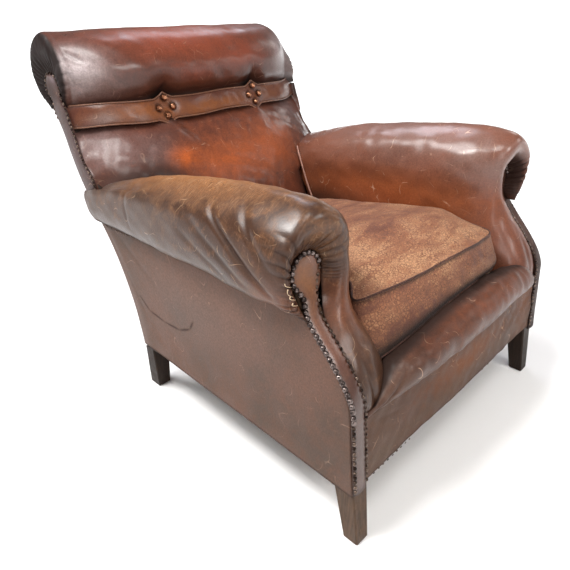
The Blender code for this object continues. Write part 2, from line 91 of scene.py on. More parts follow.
# Outlines seen from the side, as (height, distance back)
BACK_LINE = [(0.0, 0.155), (0.118, 0.138), (0.23, 0.163), (0.33, 0.208), (0.456, 0.292),
             (0.540, 0.341), (0.600, 0.370), (0.660, 0.372)]
PAD_LINE = [(0.230, 0.093), (0.31, 0.125), (0.38, 0.160), (0.46, 0.205), (0.52, 0.245),
            (0.569, 0.2815), (0.600, 0.294)]
BAND_LINE = [(0.555, 0.270), (0.596, 0.2865), (0.632, 0.2940)]
REAR_LINE = [(0.113, 0.142), (0.23, 0.168), (0.33, 0.214), (0.40, 0.265), (0.455, 0.311),
             (0.481, 0.327), (0.518, 0.344), (0.564, 0.363), (0.602, 0.386)]
NAIL_LINE = [(0.440, 0.258), (0.480, 0.268), (0.510, 0.294), (0.562, 0.313), (0.606, 0.329),
             (0.640, 0.337)]
# Height of the seam under an arm roll, by distance back
UNDER_ROLL = [(-0.345, 0.400), (-0.308, 0.413), (-0.244, 0.417), (-0.147, 0.411), (-0.034, 0.403),
              (0.099, 0.393), (0.216, 0.387), (0.300, 0.386)]

# Cross sections of an arm, as (across, height), from the outer seam over the roll to the seat
ARM_FRONT = [(0.357, 0.398), (0.381, 0.420), (0.388, 0.468), (0.372, 0.525), (0.312, 0.563),
             (0.245, 0.535), (0.217, 0.480), (0.217, 0.425), (0.220, 0.375), (0.220, 0.320),
             (0.222, 0.256)]
ARM_BACK = [(0.354, 0.391), (0.364, 0.401), (0.368, 0.424), (0.358, 0.452), (0.312, 0.467),
            (0.242, 0.455), (0.217, 0.427), (0.2165, 0.390), (0.217, 0.345), (0.218, 0.295),
            (0.220, 0.235)]
# Where the arm's cover meets its facing strip
ARM_EDGE = {-1: [(0.353, 0.396), (0.3525, 0.424), (0.3555, 0.454), (0.348, 0.478), (0.324, 0.4865),
                 (0.298, 0.480), (0.2875, 0.455), (0.2975, 0.424), (0.3195, 0.385), (0.3215, 0.325),
                 (0.3225, 0.258)],
            1: [(0.352, 0.402), (0.350, 0.426), (0.352, 0.454), (0.345, 0.476), (0.328, 0.4845),
                (0.312, 0.478), (0.309, 0.454), (0.314, 0.424), (0.324, 0.385), (0.3225, 0.325),
                (0.3225, 0.258)]}
# By outline place: how far the rim stands in front of the facing line, how far behind that line
# it starts to round over, and how far across its curve stays flat
RIM_BULGE = {-1: [0.004, 0.006, 0.008, 0.012, 0.018, 0.030, 0.042, 0.040, 0.024, 0.012, 0.004],
             1: [0.016, 0.030, 0.036, 0.035, 0.032, 0.034, 0.042, 0.040, 0.026, 0.012, 0.004]}
RIM_START = [0.022, 0.038, 0.050, 0.052, 0.046, 0.060, 0.090, 0.090, 0.080, 0.075, 0.070]
RIM_FLAT = [0.45, 0.52, 0.60, 0.64, 0.68, 0.58, 0.43, 0.43, 0.43, 0.43, 0.43]
# Slack folds low on the outside of an arm: ends as (distance back, height), depth and width
ARM_FOLDS = {-1: [((-0.150, 0.526), (-0.296, 0.432), 0.0055, 0.0060),
                  ((-0.207, 0.548), (-0.305, 0.464), 0.0026, 0.0065),
                  ((-0.112, 0.500), (-0.246, 0.430), 0.0022, 0.0065),
                  ((-0.080, 0.478), (-0.200, 0.424), 0.0012, 0.0060),
                  ((0.110, 0.505), (0.085, 0.430), 0.0010, 0.0050)],
             1: [((-0.120, 0.515), (-0.270, 0.440), 0.0030, 0.0060),
                 ((-0.060, 0.480), (-0.190, 0.425), 0.0016, 0.0065)]}
# Wear of an arm, rubbed, then painted sheen and highlights with some greyed wax, then warm patches:
# (distance back, outline place, their widths, amount)
ARM_WEAR = {-1: [[(-0.09, 4.7, 0.19, 1.3, 0.90), (0.08, 4.6, 0.14, 1.2, 0.45)],
                 [(-0.02, 0.8, 0.24, 0.9, 0.28), (0.02, 2.5, 0.09, 0.7, 0.55),
                  (0.20, 3.6, 0.05, 1.2, 0.55), (-0.36, 9.3, 0.04, 0.9, 0.65)],
                 [(-0.30, 1.0, 0.05, 0.7, 0.6), (-0.36, 7.6, 0.07, 1.1, 0.7)]],
            1: [[(-0.10, 7.2, 0.24, 1.0, 0.75), (-0.02, 8.8, 0.16, 0.8, 0.55)],
                [(-0.10, 4.9, 0.26, 1.3, 0.90), (-0.30, 5.3, 0.06, 0.9, 0.60)],
                [(-0.05, 7.9, 0.20, 0.8, 0.7)]]}
PANEL_FOLDS = [((0.235, 0.385), (0.120, 0.225), 0.0012, 0.0080),
               ((0.200, 0.385), (0.060, 0.300), 0.0008, 0.0080)]
PANEL_SCRATCH = [(0.131, 0.256), (0.098, 0.232), (0.045, 0.226), (-0.007, 0.230),
                 (-0.043, 0.248), (-0.055, 0.270)]
# Creases in the lip: (across, degrees round / 1000) at both ends, depth and width
LIP_FOLDS = [((-0.292, -0.020), (-0.235, 0.060), 0.0022, 0.0060)]
BORDER_FOLDS = [((-0.290, 0.225), (-0.215, 0.205), 0.0008, 0.0040)]
PAD_FOLDS = [((-0.142, 0.574), (-0.086, 0.522), 0.0045, 0.0070)]
ROLL_FOLDS = [((-0.135, 0.617), (-0.128, 0.652), 0.0030, 0.0070),
              ((0.135, 0.617), (0.133, 0.652), 0.0026, 0.0070),
              ((-0.338, 0.690), (-0.318, 0.655), 0.0030, 0.0050),
              ((-0.330, 0.720), (-0.300, 0.700), 0.0018, 0.0050)]
# Wear, rubbed, painted sheen and highlights with some greyed wax, warm: (across, height or place
# up, their widths, amount)
PAD_WEAR = [[(0.00, 0.470, 0.14, 0.060, 0.7), (0.14, 0.480, 0.08, 0.060, 0.6)],
            [(-0.302, 0.535, 0.055, 0.035, 0.9), (-0.20, 0.520, 0.05, 0.03, 0.4),
             (0.27, 0.555, 0.05, 0.03, 0.5)],
            [(-0.140, 0.492, 0.035, 0.022, 1.0), (-0.06, 0.470, 0.06, 0.03, 0.5)]]
ROLL_WEAR = [[(-0.06, 3.6, 0.20, 1.2, 0.7), (0.0, 4.9, 0.28, 0.9, 0.55)],
             [(-0.315, 3.1, 0.045, 0.6, 1.0), (-0.30, 2.0, 0.08, 0.8, 0.15),
              (0.27, 3.0, 0.05, 0.8, 0.6)],
             [(-0.07, 4.0, 0.12, 0.7, 0.9), (0.10, 3.0, 0.08, 0.7, 0.8),
              (-0.05, 2.4, 0.06, 0.5, 0.6)]]
STRAP_WEAR = [[(-0.20, 0.5, 0.10, 0.6, 0.7), (0.0, 0.3, 0.12, 0.4, 0.8),
               (0.25, 0.5, 0.08, 0.6, 0.4)],
              [(-0.28, 0.3, 0.03, 0.3, 0.8), (-0.20, 0.2, 0.02, 0.2, 0.5)]]
# Nails: radius and height of the head, and how many sides it is drawn with
BIG_NAIL, SMALL_NAIL, INNER_NAIL = (0.0046, 0.0036, 10), (0.0036, 0.0026, 8), (0.0032, 0.0022, 7)
SIDE_NAIL, BACK_NAIL = (0.0031, 0.0024, 8), (0.0038, 0.0026, 8)
ROLL_TACK, BORDER_TACK = (0.0022, 0.0012, 7), (0.0023, 0.0013, 7)
STUD_PLACES = [(0.0, 0.0205), (-0.0185, 0.0), (0.0185, 0.0), (0.0, -0.0175)]
# The cushion's front edge, at its lower and upper seams, as (across, distance back)
CUSHION_LOW = [(-0.300, -0.384), (-0.250, -0.402), (-0.190, -0.412), (-0.070, -0.415),
               (0.030, -0.413), (0.100, -0.407), (0.160, -0.398), (0.213, -0.384)]
CUSHION_TOP = [(-0.300, -0.330), (-0.247, -0.355), (-0.167, -0.381), (-0.068, -0.393),
               (0.000, -0.398), (0.062, -0.399), (0.125, -0.391), (0.175, -0.382),
               (0.213, -0.371)]
# Rubbed places on the cushion: (across, distance back, their widths, amount)
CUSHION_WEAR = [(0.0, -0.36, 0.20, 0.05, 0.55), (0.16, -0.20, 0.07, 0.16, 0.45),
                (-0.16, -0.25, 0.07, 0.14, 0.65), (-0.05, 0.02, 0.20, 0.05, 0.30)]
SWELL_FRAMES, SWELL_MOST = 20, 0.010                 # length of the cloth run, and its cap
# Lamps: name, place, what they point at, width, height, watts, colour
LAMPS = [("Key", (-0.50, -1.00, 2.50), (-0.1, 0.0, 0.50), 0.8, 0.8, 24.0, "#fffdfa"),
         ("Overhead", (-1.30, 0.10, 2.45), (-0.1, -0.1, 0.45), 0.5, 0.5, 42.0, "#fffdfa"),
         ("Front", (0.40, -2.00, 1.65), (0.0, 0.10, 0.50), 0.5, 0.7, 16.0, "#fffbf8"),
         ("Low front", (-0.60, -2.20, 1.20), (0.0, 0.0, 0.55), 0.4, 1.1, 8.0, "#fffbf8"),
         ("Ceiling", (1.10, 1.10, 2.25), (0.1, 0.0, 0.45), 0.8, 0.8, 14.0, "#f2f2ff"),
         ("Right high", (2.10, -0.20, 1.75), (0.0, 0.1, 0.60), 0.5, 0.5, 4.0, "#fffaf6"),
         ("Right low", (1.75, -1.45, 1.30), (0.0, -0.2, 0.40), 0.3, 0.7, 4.0, "#fffaf6"),
         ("Window", (-2.3, -0.2, 1.3), (0.0, 0.0, 0.35), 1.5, 1.5, 8.0, "#fffefc")]
SUN_FROM = (-0.42, 0.50, 1.0)
CAMERA_PLACE, CAMERA_TURN = (-0.8463, -0.7750, 0.8075), (61.85, 0.0, -45.98)
FLOOR_HALF, WALL_HEIGHT = 150.0, 14.0
# Finish of each of the frame's own nodes that stays in view; the back legs and the right front leg
# take a darker copy of the beech, painted shade
NODE_FINISHES = [("seat_spring", "Rusty spring wire"), ("webbing", "Jute webbing"),
                 ("front_leg_right", "Shaded beech"), ("back_leg", "Shaded beech"),
                 ("front_leg", "Stained beech")]
NODE_FINISHES += [(start, "Bare beech") for start in (
    "front_rail", "back_rail", "side_rail", "arm_rail", "top_rail", "back_tacking",
    "front_corner", "back_corner")]

# Cross sections of the back's roll, as (distance back, height), from the strap over to behind
ROLL_MIDDLE = [(0.2945, 0.600), (0.299, 0.618), (0.284, 0.645), (0.286, 0.690), (0.320, 0.736),
               (0.378, 0.755), (0.432, 0.741), (0.462, 0.702), (0.461, 0.662), (0.434, 0.630),
               (0.383, 0.604)]
ROLL_END = [(0.354, 0.604), (0.346, 0.619), (0.337, 0.645), (0.338, 0.690), (0.357, 0.732),
            (0.397, 0.753), (0.438, 0.737), (0.460, 0.702), (0.459, 0.666), (0.434, 0.633),
            (0.390, 0.606)]
ROLL_EDGE = [(0.332, 0.606), (0.336, 0.622), (0.3395, 0.638), (0.3435, 0.654), (0.352, 0.670),
             (0.3665, 0.6785), (0.384, 0.677), (0.397, 0.668), (0.4035, 0.652), (0.401, 0.632),
             (0.388, 0.606)]


# ---------------------------------------------------------------- numbers

def rise(value, start, end):
    """0 below start, 1 above end, and 3t^2 - 2t^3 between."""
    t = np.clip((np.asarray(value, float) - start) / (end - start), 0.0, 1.0)
    return t * t * (3.0 - 2.0 * t)


def fade(value, start, end):
    """1 below start and 0 above end."""
    return 1.0 - rise(value, start, end)


def bell(value, middle, width):
    """exp(-((value - middle) / width)^2)."""
    return np.exp(-((np.asarray(value, float) - middle) / width) ** 2)


def through(pairs, value):
    """Smooth curve through (position, value) pairs: a cubic with each point's mean slope."""
    p = np.array(pairs, float)
    slope = np.gradient(p[:, 1], p[:, 0])
    v = np.asarray(value, float)
    i = np.clip(np.searchsorted(p[:, 0], v) - 1, 0, len(p) - 2)
    width = p[i + 1, 0] - p[i, 0]
    t = np.clip((v - p[i, 0]) / width, 0.0, 1.0)
    start, leave = 2 * t**3 - 3 * t**2 + 1, t**3 - 2 * t**2 + t
    end, arrive = -2 * t**3 + 3 * t**2, t**3 - t**2
    return (start * p[i, 1] + leave * width * slope[i] + end * p[i + 1, 1]
            + arrive * width * slope[i + 1])


def along(points, k):
    """Smooth outline through listed points, read at fractional places k."""
    index = np.arange(len(points))
    columns = np.array(points, float).reshape(len(points), -1).T
    return np.stack([through(np.stack([index, c], 1), k) for c in columns], -1)


def ripple(points, size, seed, waves=14):
    """Smooth random height, about -1 to 1: a sum of plane waves whose lengths are near size."""
    rng = np.random.default_rng(seed)
    total = np.zeros(points.shape[:-1])
    for _ in range(waves):
        way = rng.normal(size=3)
        way *= 2.0 * math.pi * rng.uniform(0.6, 1.6) / (size * np.linalg.norm(way))
        total += np.cos(points @ way + rng.uniform(0.0, 2.0 * math.pi))
    return total / math.sqrt(waves)


def uneven(points, *ripples):
    """Ripples added up, each given as (height, size, seed)."""
    return sum(height * ripple(points, size, seed) for height, size, seed in ripples)


def line_depth(a, b, start, end, width):
    """Groove between two places in the plane (a, b): exp(-(distance/width)^2), fading at both."""
    way = np.array(end, float) - start
    t = np.clip(((a - start[0]) * way[0] + (b - start[1]) * way[1]) / (way @ way), 0.0, 1.0)
    gap = np.hypot(a - start[0] - t * way[0], b - start[1] - t * way[1])
    return np.exp(-(gap / width) ** 2) * np.sin(math.pi * (0.06 + 0.88 * t)) ** 0.6


def normals(grid):
    """Unit normals of a grid: the cross product of its two directions."""
    n = np.cross(np.gradient(grid, axis=1), np.gradient(grid, axis=0))
    return n / np.maximum(np.linalg.norm(n, axis=-1, keepdims=True), 1e-12)


def run_along(path):
    """Distance travelled along a path, or down each column of a grid, at each of its points."""
    step = np.linalg.norm(np.diff(path, axis=0), axis=-1)
    return np.concatenate([0.0 * step[:1], np.cumsum(step, axis=0)])


def cubic(t, first, lead, come, last):
    """(1 - t)^3 first + 3 (1 - t)^2 t lead + 3 (1 - t) t^2 come + t^3 last."""
    return ((1 - t) ** 3 * first + 3 * (1 - t) ** 2 * t * lead + 3 * (1 - t) * t**2 * come
            + t**3 * last)


def slope_of(line, z):
    """Slope of an outline at height z, over 4 mm."""
    return (line(z + 0.002) - line(z - 0.002)) / 0.004


def folded(push, crease, a, b, folds, dark, power, within=1.0):
    """Presses grooves into a surface's push and darkens them, grime with painted shade: the dark
    mark gains (groove)^power.
    """
    for start, end, depth, width in folds:
        groove = line_depth(a, b, start, end, width) * within
        push = push - depth * groove
        crease = crease + dark * depth * groove ** power
    return push, crease


def wear(a, b, *lists):
    """For each list, its soft patches added up: amount bell(a) bell(b)."""
    return [sum(amount * bell(a, at_a, wide_a) * bell(b, at_b, wide_b)
                for at_a, at_b, wide_a, wide_b, amount in patches) for patches in lists]


def face_y(z):
    """Front line of an arm: nearly upright, with an S that steps back under the head."""
    return -0.450 + 0.10 * (np.asarray(z, float) - 0.115) + 0.103 * rise(z, 0.27, 0.455)


def back_y(z):
    """Outside line of the back."""
    return through(BACK_LINE, z)


def set_back(x):
    """How far the back's front falls away towards its ends: c |x|^4."""
    return 0.054 * (np.abs(x) / 0.34) ** 4


def narrowed(grid):
    """The back is pulled in at its right end, by 15 mm low down and 40 mm behind the scroll."""
    grid = np.array(grid, float)
    x, y, z = np.moveaxis(grid, -1, 0)
    pull = 0.0145 + 0.0180 * rise(z, 0.600, 0.655)
    pull = pull + 0.011 * rise(y, 0.345, 0.400) * rise(z, 0.580, 0.660)
    grid[..., 0] -= pull * rise(x, 0.20, 0.335)
    return grid


def seat_deck(x, y):
    """Height that the cushion rests on: a plane falling back, less a parabola across."""
    return 0.334 - 0.175 * (y + 0.438) - 0.020 * (np.abs(x) / 0.208) ** 2


def cushion_bed(x, y):
    """Underside of the cushion: on the deck, lifted 6.5 mm where it runs on to the lip."""
    return seat_deck(x, y) + 0.0005 + 0.0065 * fade(y, -0.425, -0.385)


def across(start, end, count):
    """Even steps along a grid's rows."""
    return np.linspace(start, end, count)[None, :]


def down(start, end, count):
    """Even steps down a grid's columns."""
    return np.linspace(start, end, count)[:, None]


def points_at(x, y, z):
    """Points of three coordinates, each stretched to the shape that they share."""
    return np.stack(np.broadcast_arrays(x, y, z), -1)


# ---------------------------------------------------------------- meshes

def side_name(name, side):
    """A piece's name with its side: 1 is the right one, -1 the left."""
    return f"{name}_{'right' if side > 0 else 'left'}"


def mesh_piece(name, points, faces, finish):
    """A smooth mesh in the scene with the finish of that name, riding on the chair."""
    data = bpy.data.meshes.new(name)
    data.from_pydata(points.reshape(-1, 3).tolist(), [], faces)
    data.polygons.foreach_set("use_smooth", np.ones(len(data.polygons), bool))
    data.materials.append(bpy.data.materials[finish])
    piece = bpy.data.objects.new(name, data)
    bpy.context.scene.collection.objects.link(piece)
    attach(piece, "root")
    return piece


def skin(name, grid, finish, ring=False, flip=False, most=1.0, **marks):
    """Mesh of quads over a grid of points; marks become named values, 0 to most, on its points."""
    rows, columns = grid.shape[:2]
    number = np.arange(rows * columns).reshape(rows, columns)
    if ring:
        number = np.concatenate([number, number[:, :1]], 1)
    corners = [number[:-1, :-1], number[:-1, 1:], number[1:, 1:], number[1:, :-1]]
    quads = np.stack(corners[::-1] if flip else corners, -1).reshape(-1, 4)
    piece = mesh_piece(name, grid, quads.tolist(), finish)
    for mark, value in marks.items():
        layer = piece.data.attributes.new(mark, "FLOAT", "POINT")
        value = np.broadcast_to(np.clip(value, 0.0, most), (rows, columns))
        layer.data.foreach_set("value", value.ravel())
    return piece


def thicken(piece, thickness=HIDE, offset=-1.0):
    """Gives an open skin its thickness, inwards, or to both sides when offset is 0."""
    wall = piece.modifiers.new("Thickness", "SOLIDIFY")
    wall.thickness, wall.offset = thickness, offset


def cord_mesh(name, path, radius, finish):
    """Piping: a ring of eight points carried along a path, square to it, closed at its ends."""
    path = np.asarray(path, float)
    way = np.gradient(path, axis=0)
    way /= np.linalg.norm(way, axis=1, keepdims=True)
    sideways = np.cross(way, np.array([0.0, 0.0, 1.0]) + 1e-3)
    sideways /= np.linalg.norm(sideways, axis=1, keepdims=True)
    up = np.cross(sideways, way)
    turn = np.linspace(0.0, 2.0 * math.pi, 8, endpoint=False)[None, :, None]
    taper = np.ones(len(path))
    taper[[0, -1]] = 0.02
    ring = np.cos(turn) * sideways[:, None] + np.sin(turn) * up[:, None]
    grid = path[:, None] + (radius * taper)[:, None, None] * ring
    return skin(name, grid, finish, ring=True, flip=True)


def domes(name, centres, facing, nail, finish, seed, steps=5):
    """Nail heads: a quarter ellipse turned about each nail's own axis, each a little unlike."""
    radius, height, sides = nail
    rng = np.random.default_rng(seed)
    facing = np.asarray(facing, float) + rng.normal(scale=0.09, size=np.shape(centres))
    facing /= np.linalg.norm(facing, axis=1, keepdims=True)
    first = np.cross(facing, [0.31, 0.20, 0.93])
    first /= np.linalg.norm(first, axis=1, keepdims=True)
    second = np.cross(facing, first)
    climb = np.radians(np.linspace(-12.0, 84.0, steps))
    turn = np.linspace(0.0, 2.0 * math.pi, sides, endpoint=False)
    centres = np.asarray(centres, float)
    size = (radius * rng.uniform(0.94, 1.06, len(centres)))[:, None, None, None]
    sideways = (np.cos(turn)[:, None] * first[:, None, None] + np.sin(turn)[:, None]
              * second[:, None, None])
    points = (centres[:, None, None] + size * np.cos(climb)[None, :, None, None] * sideways
              + (height * np.sin(climb))[None, :, None, None] * facing[:, None, None])
    count, rings = len(centres), len(climb)
    number = np.arange(count * rings * sides).reshape(count, rings, sides)
    after = np.roll(number, -1, axis=2)
    quads = np.stack([number[:, :-1], after[:, :-1], after[:, 1:], number[:, 1:]], -1)
    faces = quads.reshape(-1, 4).tolist() + number[:, -1].tolist()
    return mesh_piece(name, points, faces, finish)


def spaced(path, pitch, seed=3):
    """Points at equal steps along a path, with a hammer's small errors."""
    step = run_along(path)
    count = int(step[-1] / pitch)
    at = (np.arange(count) + 0.5) * step[-1] / count
    at += np.random.default_rng(seed).normal(scale=0.05 * pitch, size=count)
    return np.stack([np.interp(at, step, c) for c in path.T], 1)


def closed(front, back):
    """Ring round a padded piece: its front grid, then its back grid the other way, ends sealed."""
    ring = np.concatenate([front, back[:, ::-1]], 1)
    start = 0.5 * (ring[:1] + ring[:1, ::-1])
    end = 0.5 * (ring[-1:] + ring[-1:, ::-1])
    return np.concatenate([start, ring, end], 0)


def ring_marks(**marks):
    """Marks for closed(): those of its front, none behind, and the sealed ends like their rows."""
    rings = {key: np.concatenate([value, 0.0 * value], 1) for key, value in marks.items()}
    return {key: np.concatenate([ring[:1], ring, ring[-1:]]) for key, ring in rings.items()}


def weld(piece):
    """Merges points closer than 0.01 mm, so that seams and poles are closed."""
    mesh = bmesh.new()
    mesh.from_mesh(piece.data)
    bmesh.ops.remove_doubles(mesh, verts=mesh.verts, dist=1e-5)
    mesh.to_mesh(piece.data)
    mesh.free()
    return piece


# ---------------------------------------------------------------- finishes

def linear(code):
    """sRGB hex colour to linear: ((c + 0.055) / 1.055)^2.4 above 0.04045, c / 12.92 below.

    A colour from the settings is linear already and only gains its fourth number.
    """
    if not isinstance(code, str):
        return (*code, 1.0)
    c = np.array([int(code[i:i + 2], 16) for i in (1, 3, 5)]) / 255.0
    return (*np.where(c <= 0.04045, c / 12.92, ((c + 0.055) / 1.055) ** 2.4).tolist(), 1.0)


def add_node(tree, kind, inputs, **settings):
    """Adds a node with its settings, its inputs given as values or as another node's outputs."""
    node = tree.nodes.new(kind)
    for setting, value in settings.items():
        setattr(node, setting, value)
    for socket, value in inputs.items():
        if isinstance(value, bpy.types.NodeSocket):
            tree.links.new(value, node.inputs[socket])
        else:
            node.inputs[socket].default_value = value
    return node


def new_material(name, **shader_values):
    """A named material with its shader's own values set; returns it, its tree and its shader."""
    material = bpy.data.materials.new(name)
    material.use_nodes = True
    tree = material.node_tree
    shader = tree.nodes["Principled BSDF"]
    for socket, value in shader_values.items():
        shader.inputs[socket.replace("_", " ")].default_value = value
    return material, tree, shader


def object_place(tree):
    """Places on a piece, in metres."""
    return add_node(tree, "ShaderNodeTexCoord", {}).outputs["Object"]


def marked(tree, name):
    """One of a mesh's own marks: rub, bloom, crease or warm."""
    return add_node(tree, "ShaderNodeAttribute", {}, attribute_name=name).outputs["Fac"]


def calc(tree, operation, *values):
    """Sum, product or comparison of values; MULTIPLY_ADD is first times second plus third."""
    return add_node(tree, "ShaderNodeMath", dict(enumerate(values)), operation=operation).outputs[0]


def spread(tree, value, start=0.0, end=1.0, to_start=0.0, to_end=1.0):
    """A value from start to end, clamped and spread evenly over to_start to to_end."""
    return add_node(tree, "ShaderNodeMapRange", {"Value": value, "From Min": start,
                    "From Max": end, "To Min": to_start, "To Max": to_end}).outputs[0]


def blend(tree, share, first, second):
    """The first colour turning into the second as share goes from 0 to 1."""
    first, second = (c if isinstance(c, bpy.types.NodeSocket) else linear(c)
                     for c in (first, second))
    return add_node(tree, "ShaderNodeMix", {0: share, 6: first, 7: second},
                    data_type="RGBA").outputs[2]


def noise(tree, place, scale, detail=2.0, output="Fac", **more):
    """Soft random noise with a feature about 1 / scale metres across."""
    return add_node(tree, "ShaderNodeTexNoise", {"Vector": place, "Scale": scale,
                    "Detail": detail, **more}).outputs[output]


def cells(tree, place, scale):
    """Distance to the edge of random cells about 1 / scale metres across."""
    return add_node(tree, "ShaderNodeTexVoronoi", {"Vector": place, "Scale": scale},
                    feature="DISTANCE_TO_EDGE").outputs["Distance"]


def scaled(tree, vector, factor):
    """A vector or colour times a number."""
    return add_node(tree, "ShaderNodeVectorMath", {0: vector, "Scale": factor},
                    operation="SCALE").outputs[0]


def moved(tree, vector, shift):
    """A vector plus another."""
    return add_node(tree, "ShaderNodeVectorMath", {0: vector, 1: shift},
                    operation="ADD").outputs[0]


def mapped(tree, place, **change):
    """Places moved, turned and stretched."""
    return add_node(tree, "ShaderNodeMapping", {"Vector": place, **change}).outputs[0]


def bumped(tree, height, strength, distance):
    """Shading normal of small relief, its height in metres given by distance."""
    return add_node(tree, "ShaderNodeBump", {"Height": height, "Strength": strength,
                    "Distance": distance}).outputs[0]


def wire(tree, shader, **sockets):
    """Links outputs to the shader's sockets."""
    for socket, output in sockets.items():
        tree.links.new(output, shader.inputs[socket.replace("_", " ")])


def old_hide(name, base, deep, rubbed, bloom, warm="#9c4a22", dark="#1d100b",
             scratch="#c9a488", roughness=0.42, mottle=0.5, crackle=0.0, scratches=0.4,
             hair=0.0, coat=0.45, specular=0.16):
    """Cowhide, aniline dyed and waxed, then worn for decades.

    Aniline dye sinks in, so its brown is clear and uneven; wax gives a broad soft shine. Use rubs
    the dye off the high places to orange (rub). A pale grey tone paints sheen and highlights, with
    some greyed wax where it gathers, and a dark tone paints grime together with the shade in folds,
    corners and gaps. Fine pale scratches break the shine.
    """
    material, tree, shader = new_material(name, Coat_Roughness=0.26, Coat_IOR=1.5,
                                          Specular_IOR_Level=specular)
    place = object_place(tree)
    rub, crease, sheen_mark, glow = (marked(tree, mark) for mark in ("rub", "crease", "bloom", "warm"))
    # dye drifts over about 110 mm, and wears in patches about 28 mm across
    drift = noise(tree, place, 9.0, 3.0)
    patch = noise(tree, place, 36.0, 7.0, Roughness=0.66, Distortion=0.5)
    # hide grain: pebbles 2 mm across, drawn at 3.5 mm so that they show
    pebble = cells(tree, place, 285.0)
    fine = noise(tree, place, 300.0, 3.0, Roughness=0.6)
    colour = blend(tree, spread(tree, drift, 0.40, 0.64, 0.0, mottle), base, deep)
    # worn where the mark and the patches together pass a threshold, so that its edge is ragged
    worn = calc(tree, "MULTIPLY_ADD", rub, 1.25, calc(tree, "MULTIPLY_ADD", patch, 1.5, -0.75))
    worn = spread(tree, worn, 0.05, 1.05)
    colour = blend(tree, worn, colour, rubbed)
    # warm patches, then the pale tone of painted sheen and highlights with some greyed wax
    for mark, most, tint in ((glow, 0.60, warm), (sheen_mark, 0.62, bloom)):
        amount = spread(tree, calc(tree, "MULTIPLY", mark, patch), 0.0, most)
        colour = blend(tree, amount, colour, tint)
    # fine speckle of pores
    colour = scaled(tree, colour, spread(tree, fine, 0.30, 0.72, 0.80, 1.16))
    height = calc(tree, "MULTIPLY_ADD", pebble, 1.6, fine)
    rough = spread(tree, patch, 0.3, 0.7, roughness - 0.09, roughness + 0.10)
    rough = calc(tree, "MULTIPLY_ADD", worn, 0.14, rough)
    if crackle:
        # dried finish cracks into islands about 6 mm across where it is rubbed
        push = noise(tree, place, 90.0, output="Color")
        island = cells(tree, moved(tree, place, scaled(tree, push, 0.006)), 160.0)
        crack = spread(tree, island, 0.0, 0.13, 1.0, 0.0)
        where = calc(tree, "MULTIPLY", spread(tree, patch, 0.42, 0.58, 0.0, crackle), worn)
        crack = calc(tree, "MULTIPLY", crack, where)
        colour = blend(tree, crack, colour, deep)
        height = calc(tree, "MULTIPLY_ADD", crack, -1.4, height)
    if hair:
        # hair-fine scuffs round the roll, 1.3 mm apart and 18 mm long, where it is worn
        lean = mapped(tree, place, Rotation=(0.0, 0.0, 0.30), Scale=(55.0, 760.0, 75.0))
        strand = noise(tree, lean, 1.0, 3.0, Distortion=0.3)
        strand = calc(tree, "MULTIPLY", spread(tree, strand, 0.52, 0.72, 0.0, hair), worn)
        colour = blend(tree, strand, colour, scratch)
        rough = calc(tree, "MULTIPLY_ADD", strand, 0.3, rough)
    # scratches: the level lines of a slow noise, kept only in places, so that they curve and end
    for scale, start in ((13.0, 0.0), (21.0, 4.3)):
        shifted = mapped(tree, place, Location=(start, start, 0.0))
        slow = noise(tree, shifted, scale, 1.0)
        level = calc(tree, "COMPARE", slow, 0.5, 0.0035)
        some = noise(tree, shifted, 33.0, 2.0)
        mark = calc(tree, "MULTIPLY", level, spread(tree, some, 0.55, 0.70, 0.0, scratches))
        colour = blend(tree, mark, colour, scratch)
    # the dark mark: grime, with painted shade in folds, corners and gaps
    colour = blend(tree, spread(tree, crease, 0.0, 1.0, 0.0, 0.93), colour, dark)
    rough = calc(tree, "MULTIPLY_ADD", crease, 0.35, rough)
    bump = bumped(tree, height, 0.16, 0.0012)
    # wax stays on sound hide, and is gone from rubbed places and from folds darkened as grime and
    # shade
    wax = spread(tree, calc(tree, "MULTIPLY_ADD", worn, 0.75, crease), to_start=coat, to_end=0.03)
    wire(tree, shader, Coat_Weight=wax, Base_Color=colour, Roughness=rough, Normal=bump)
    return material


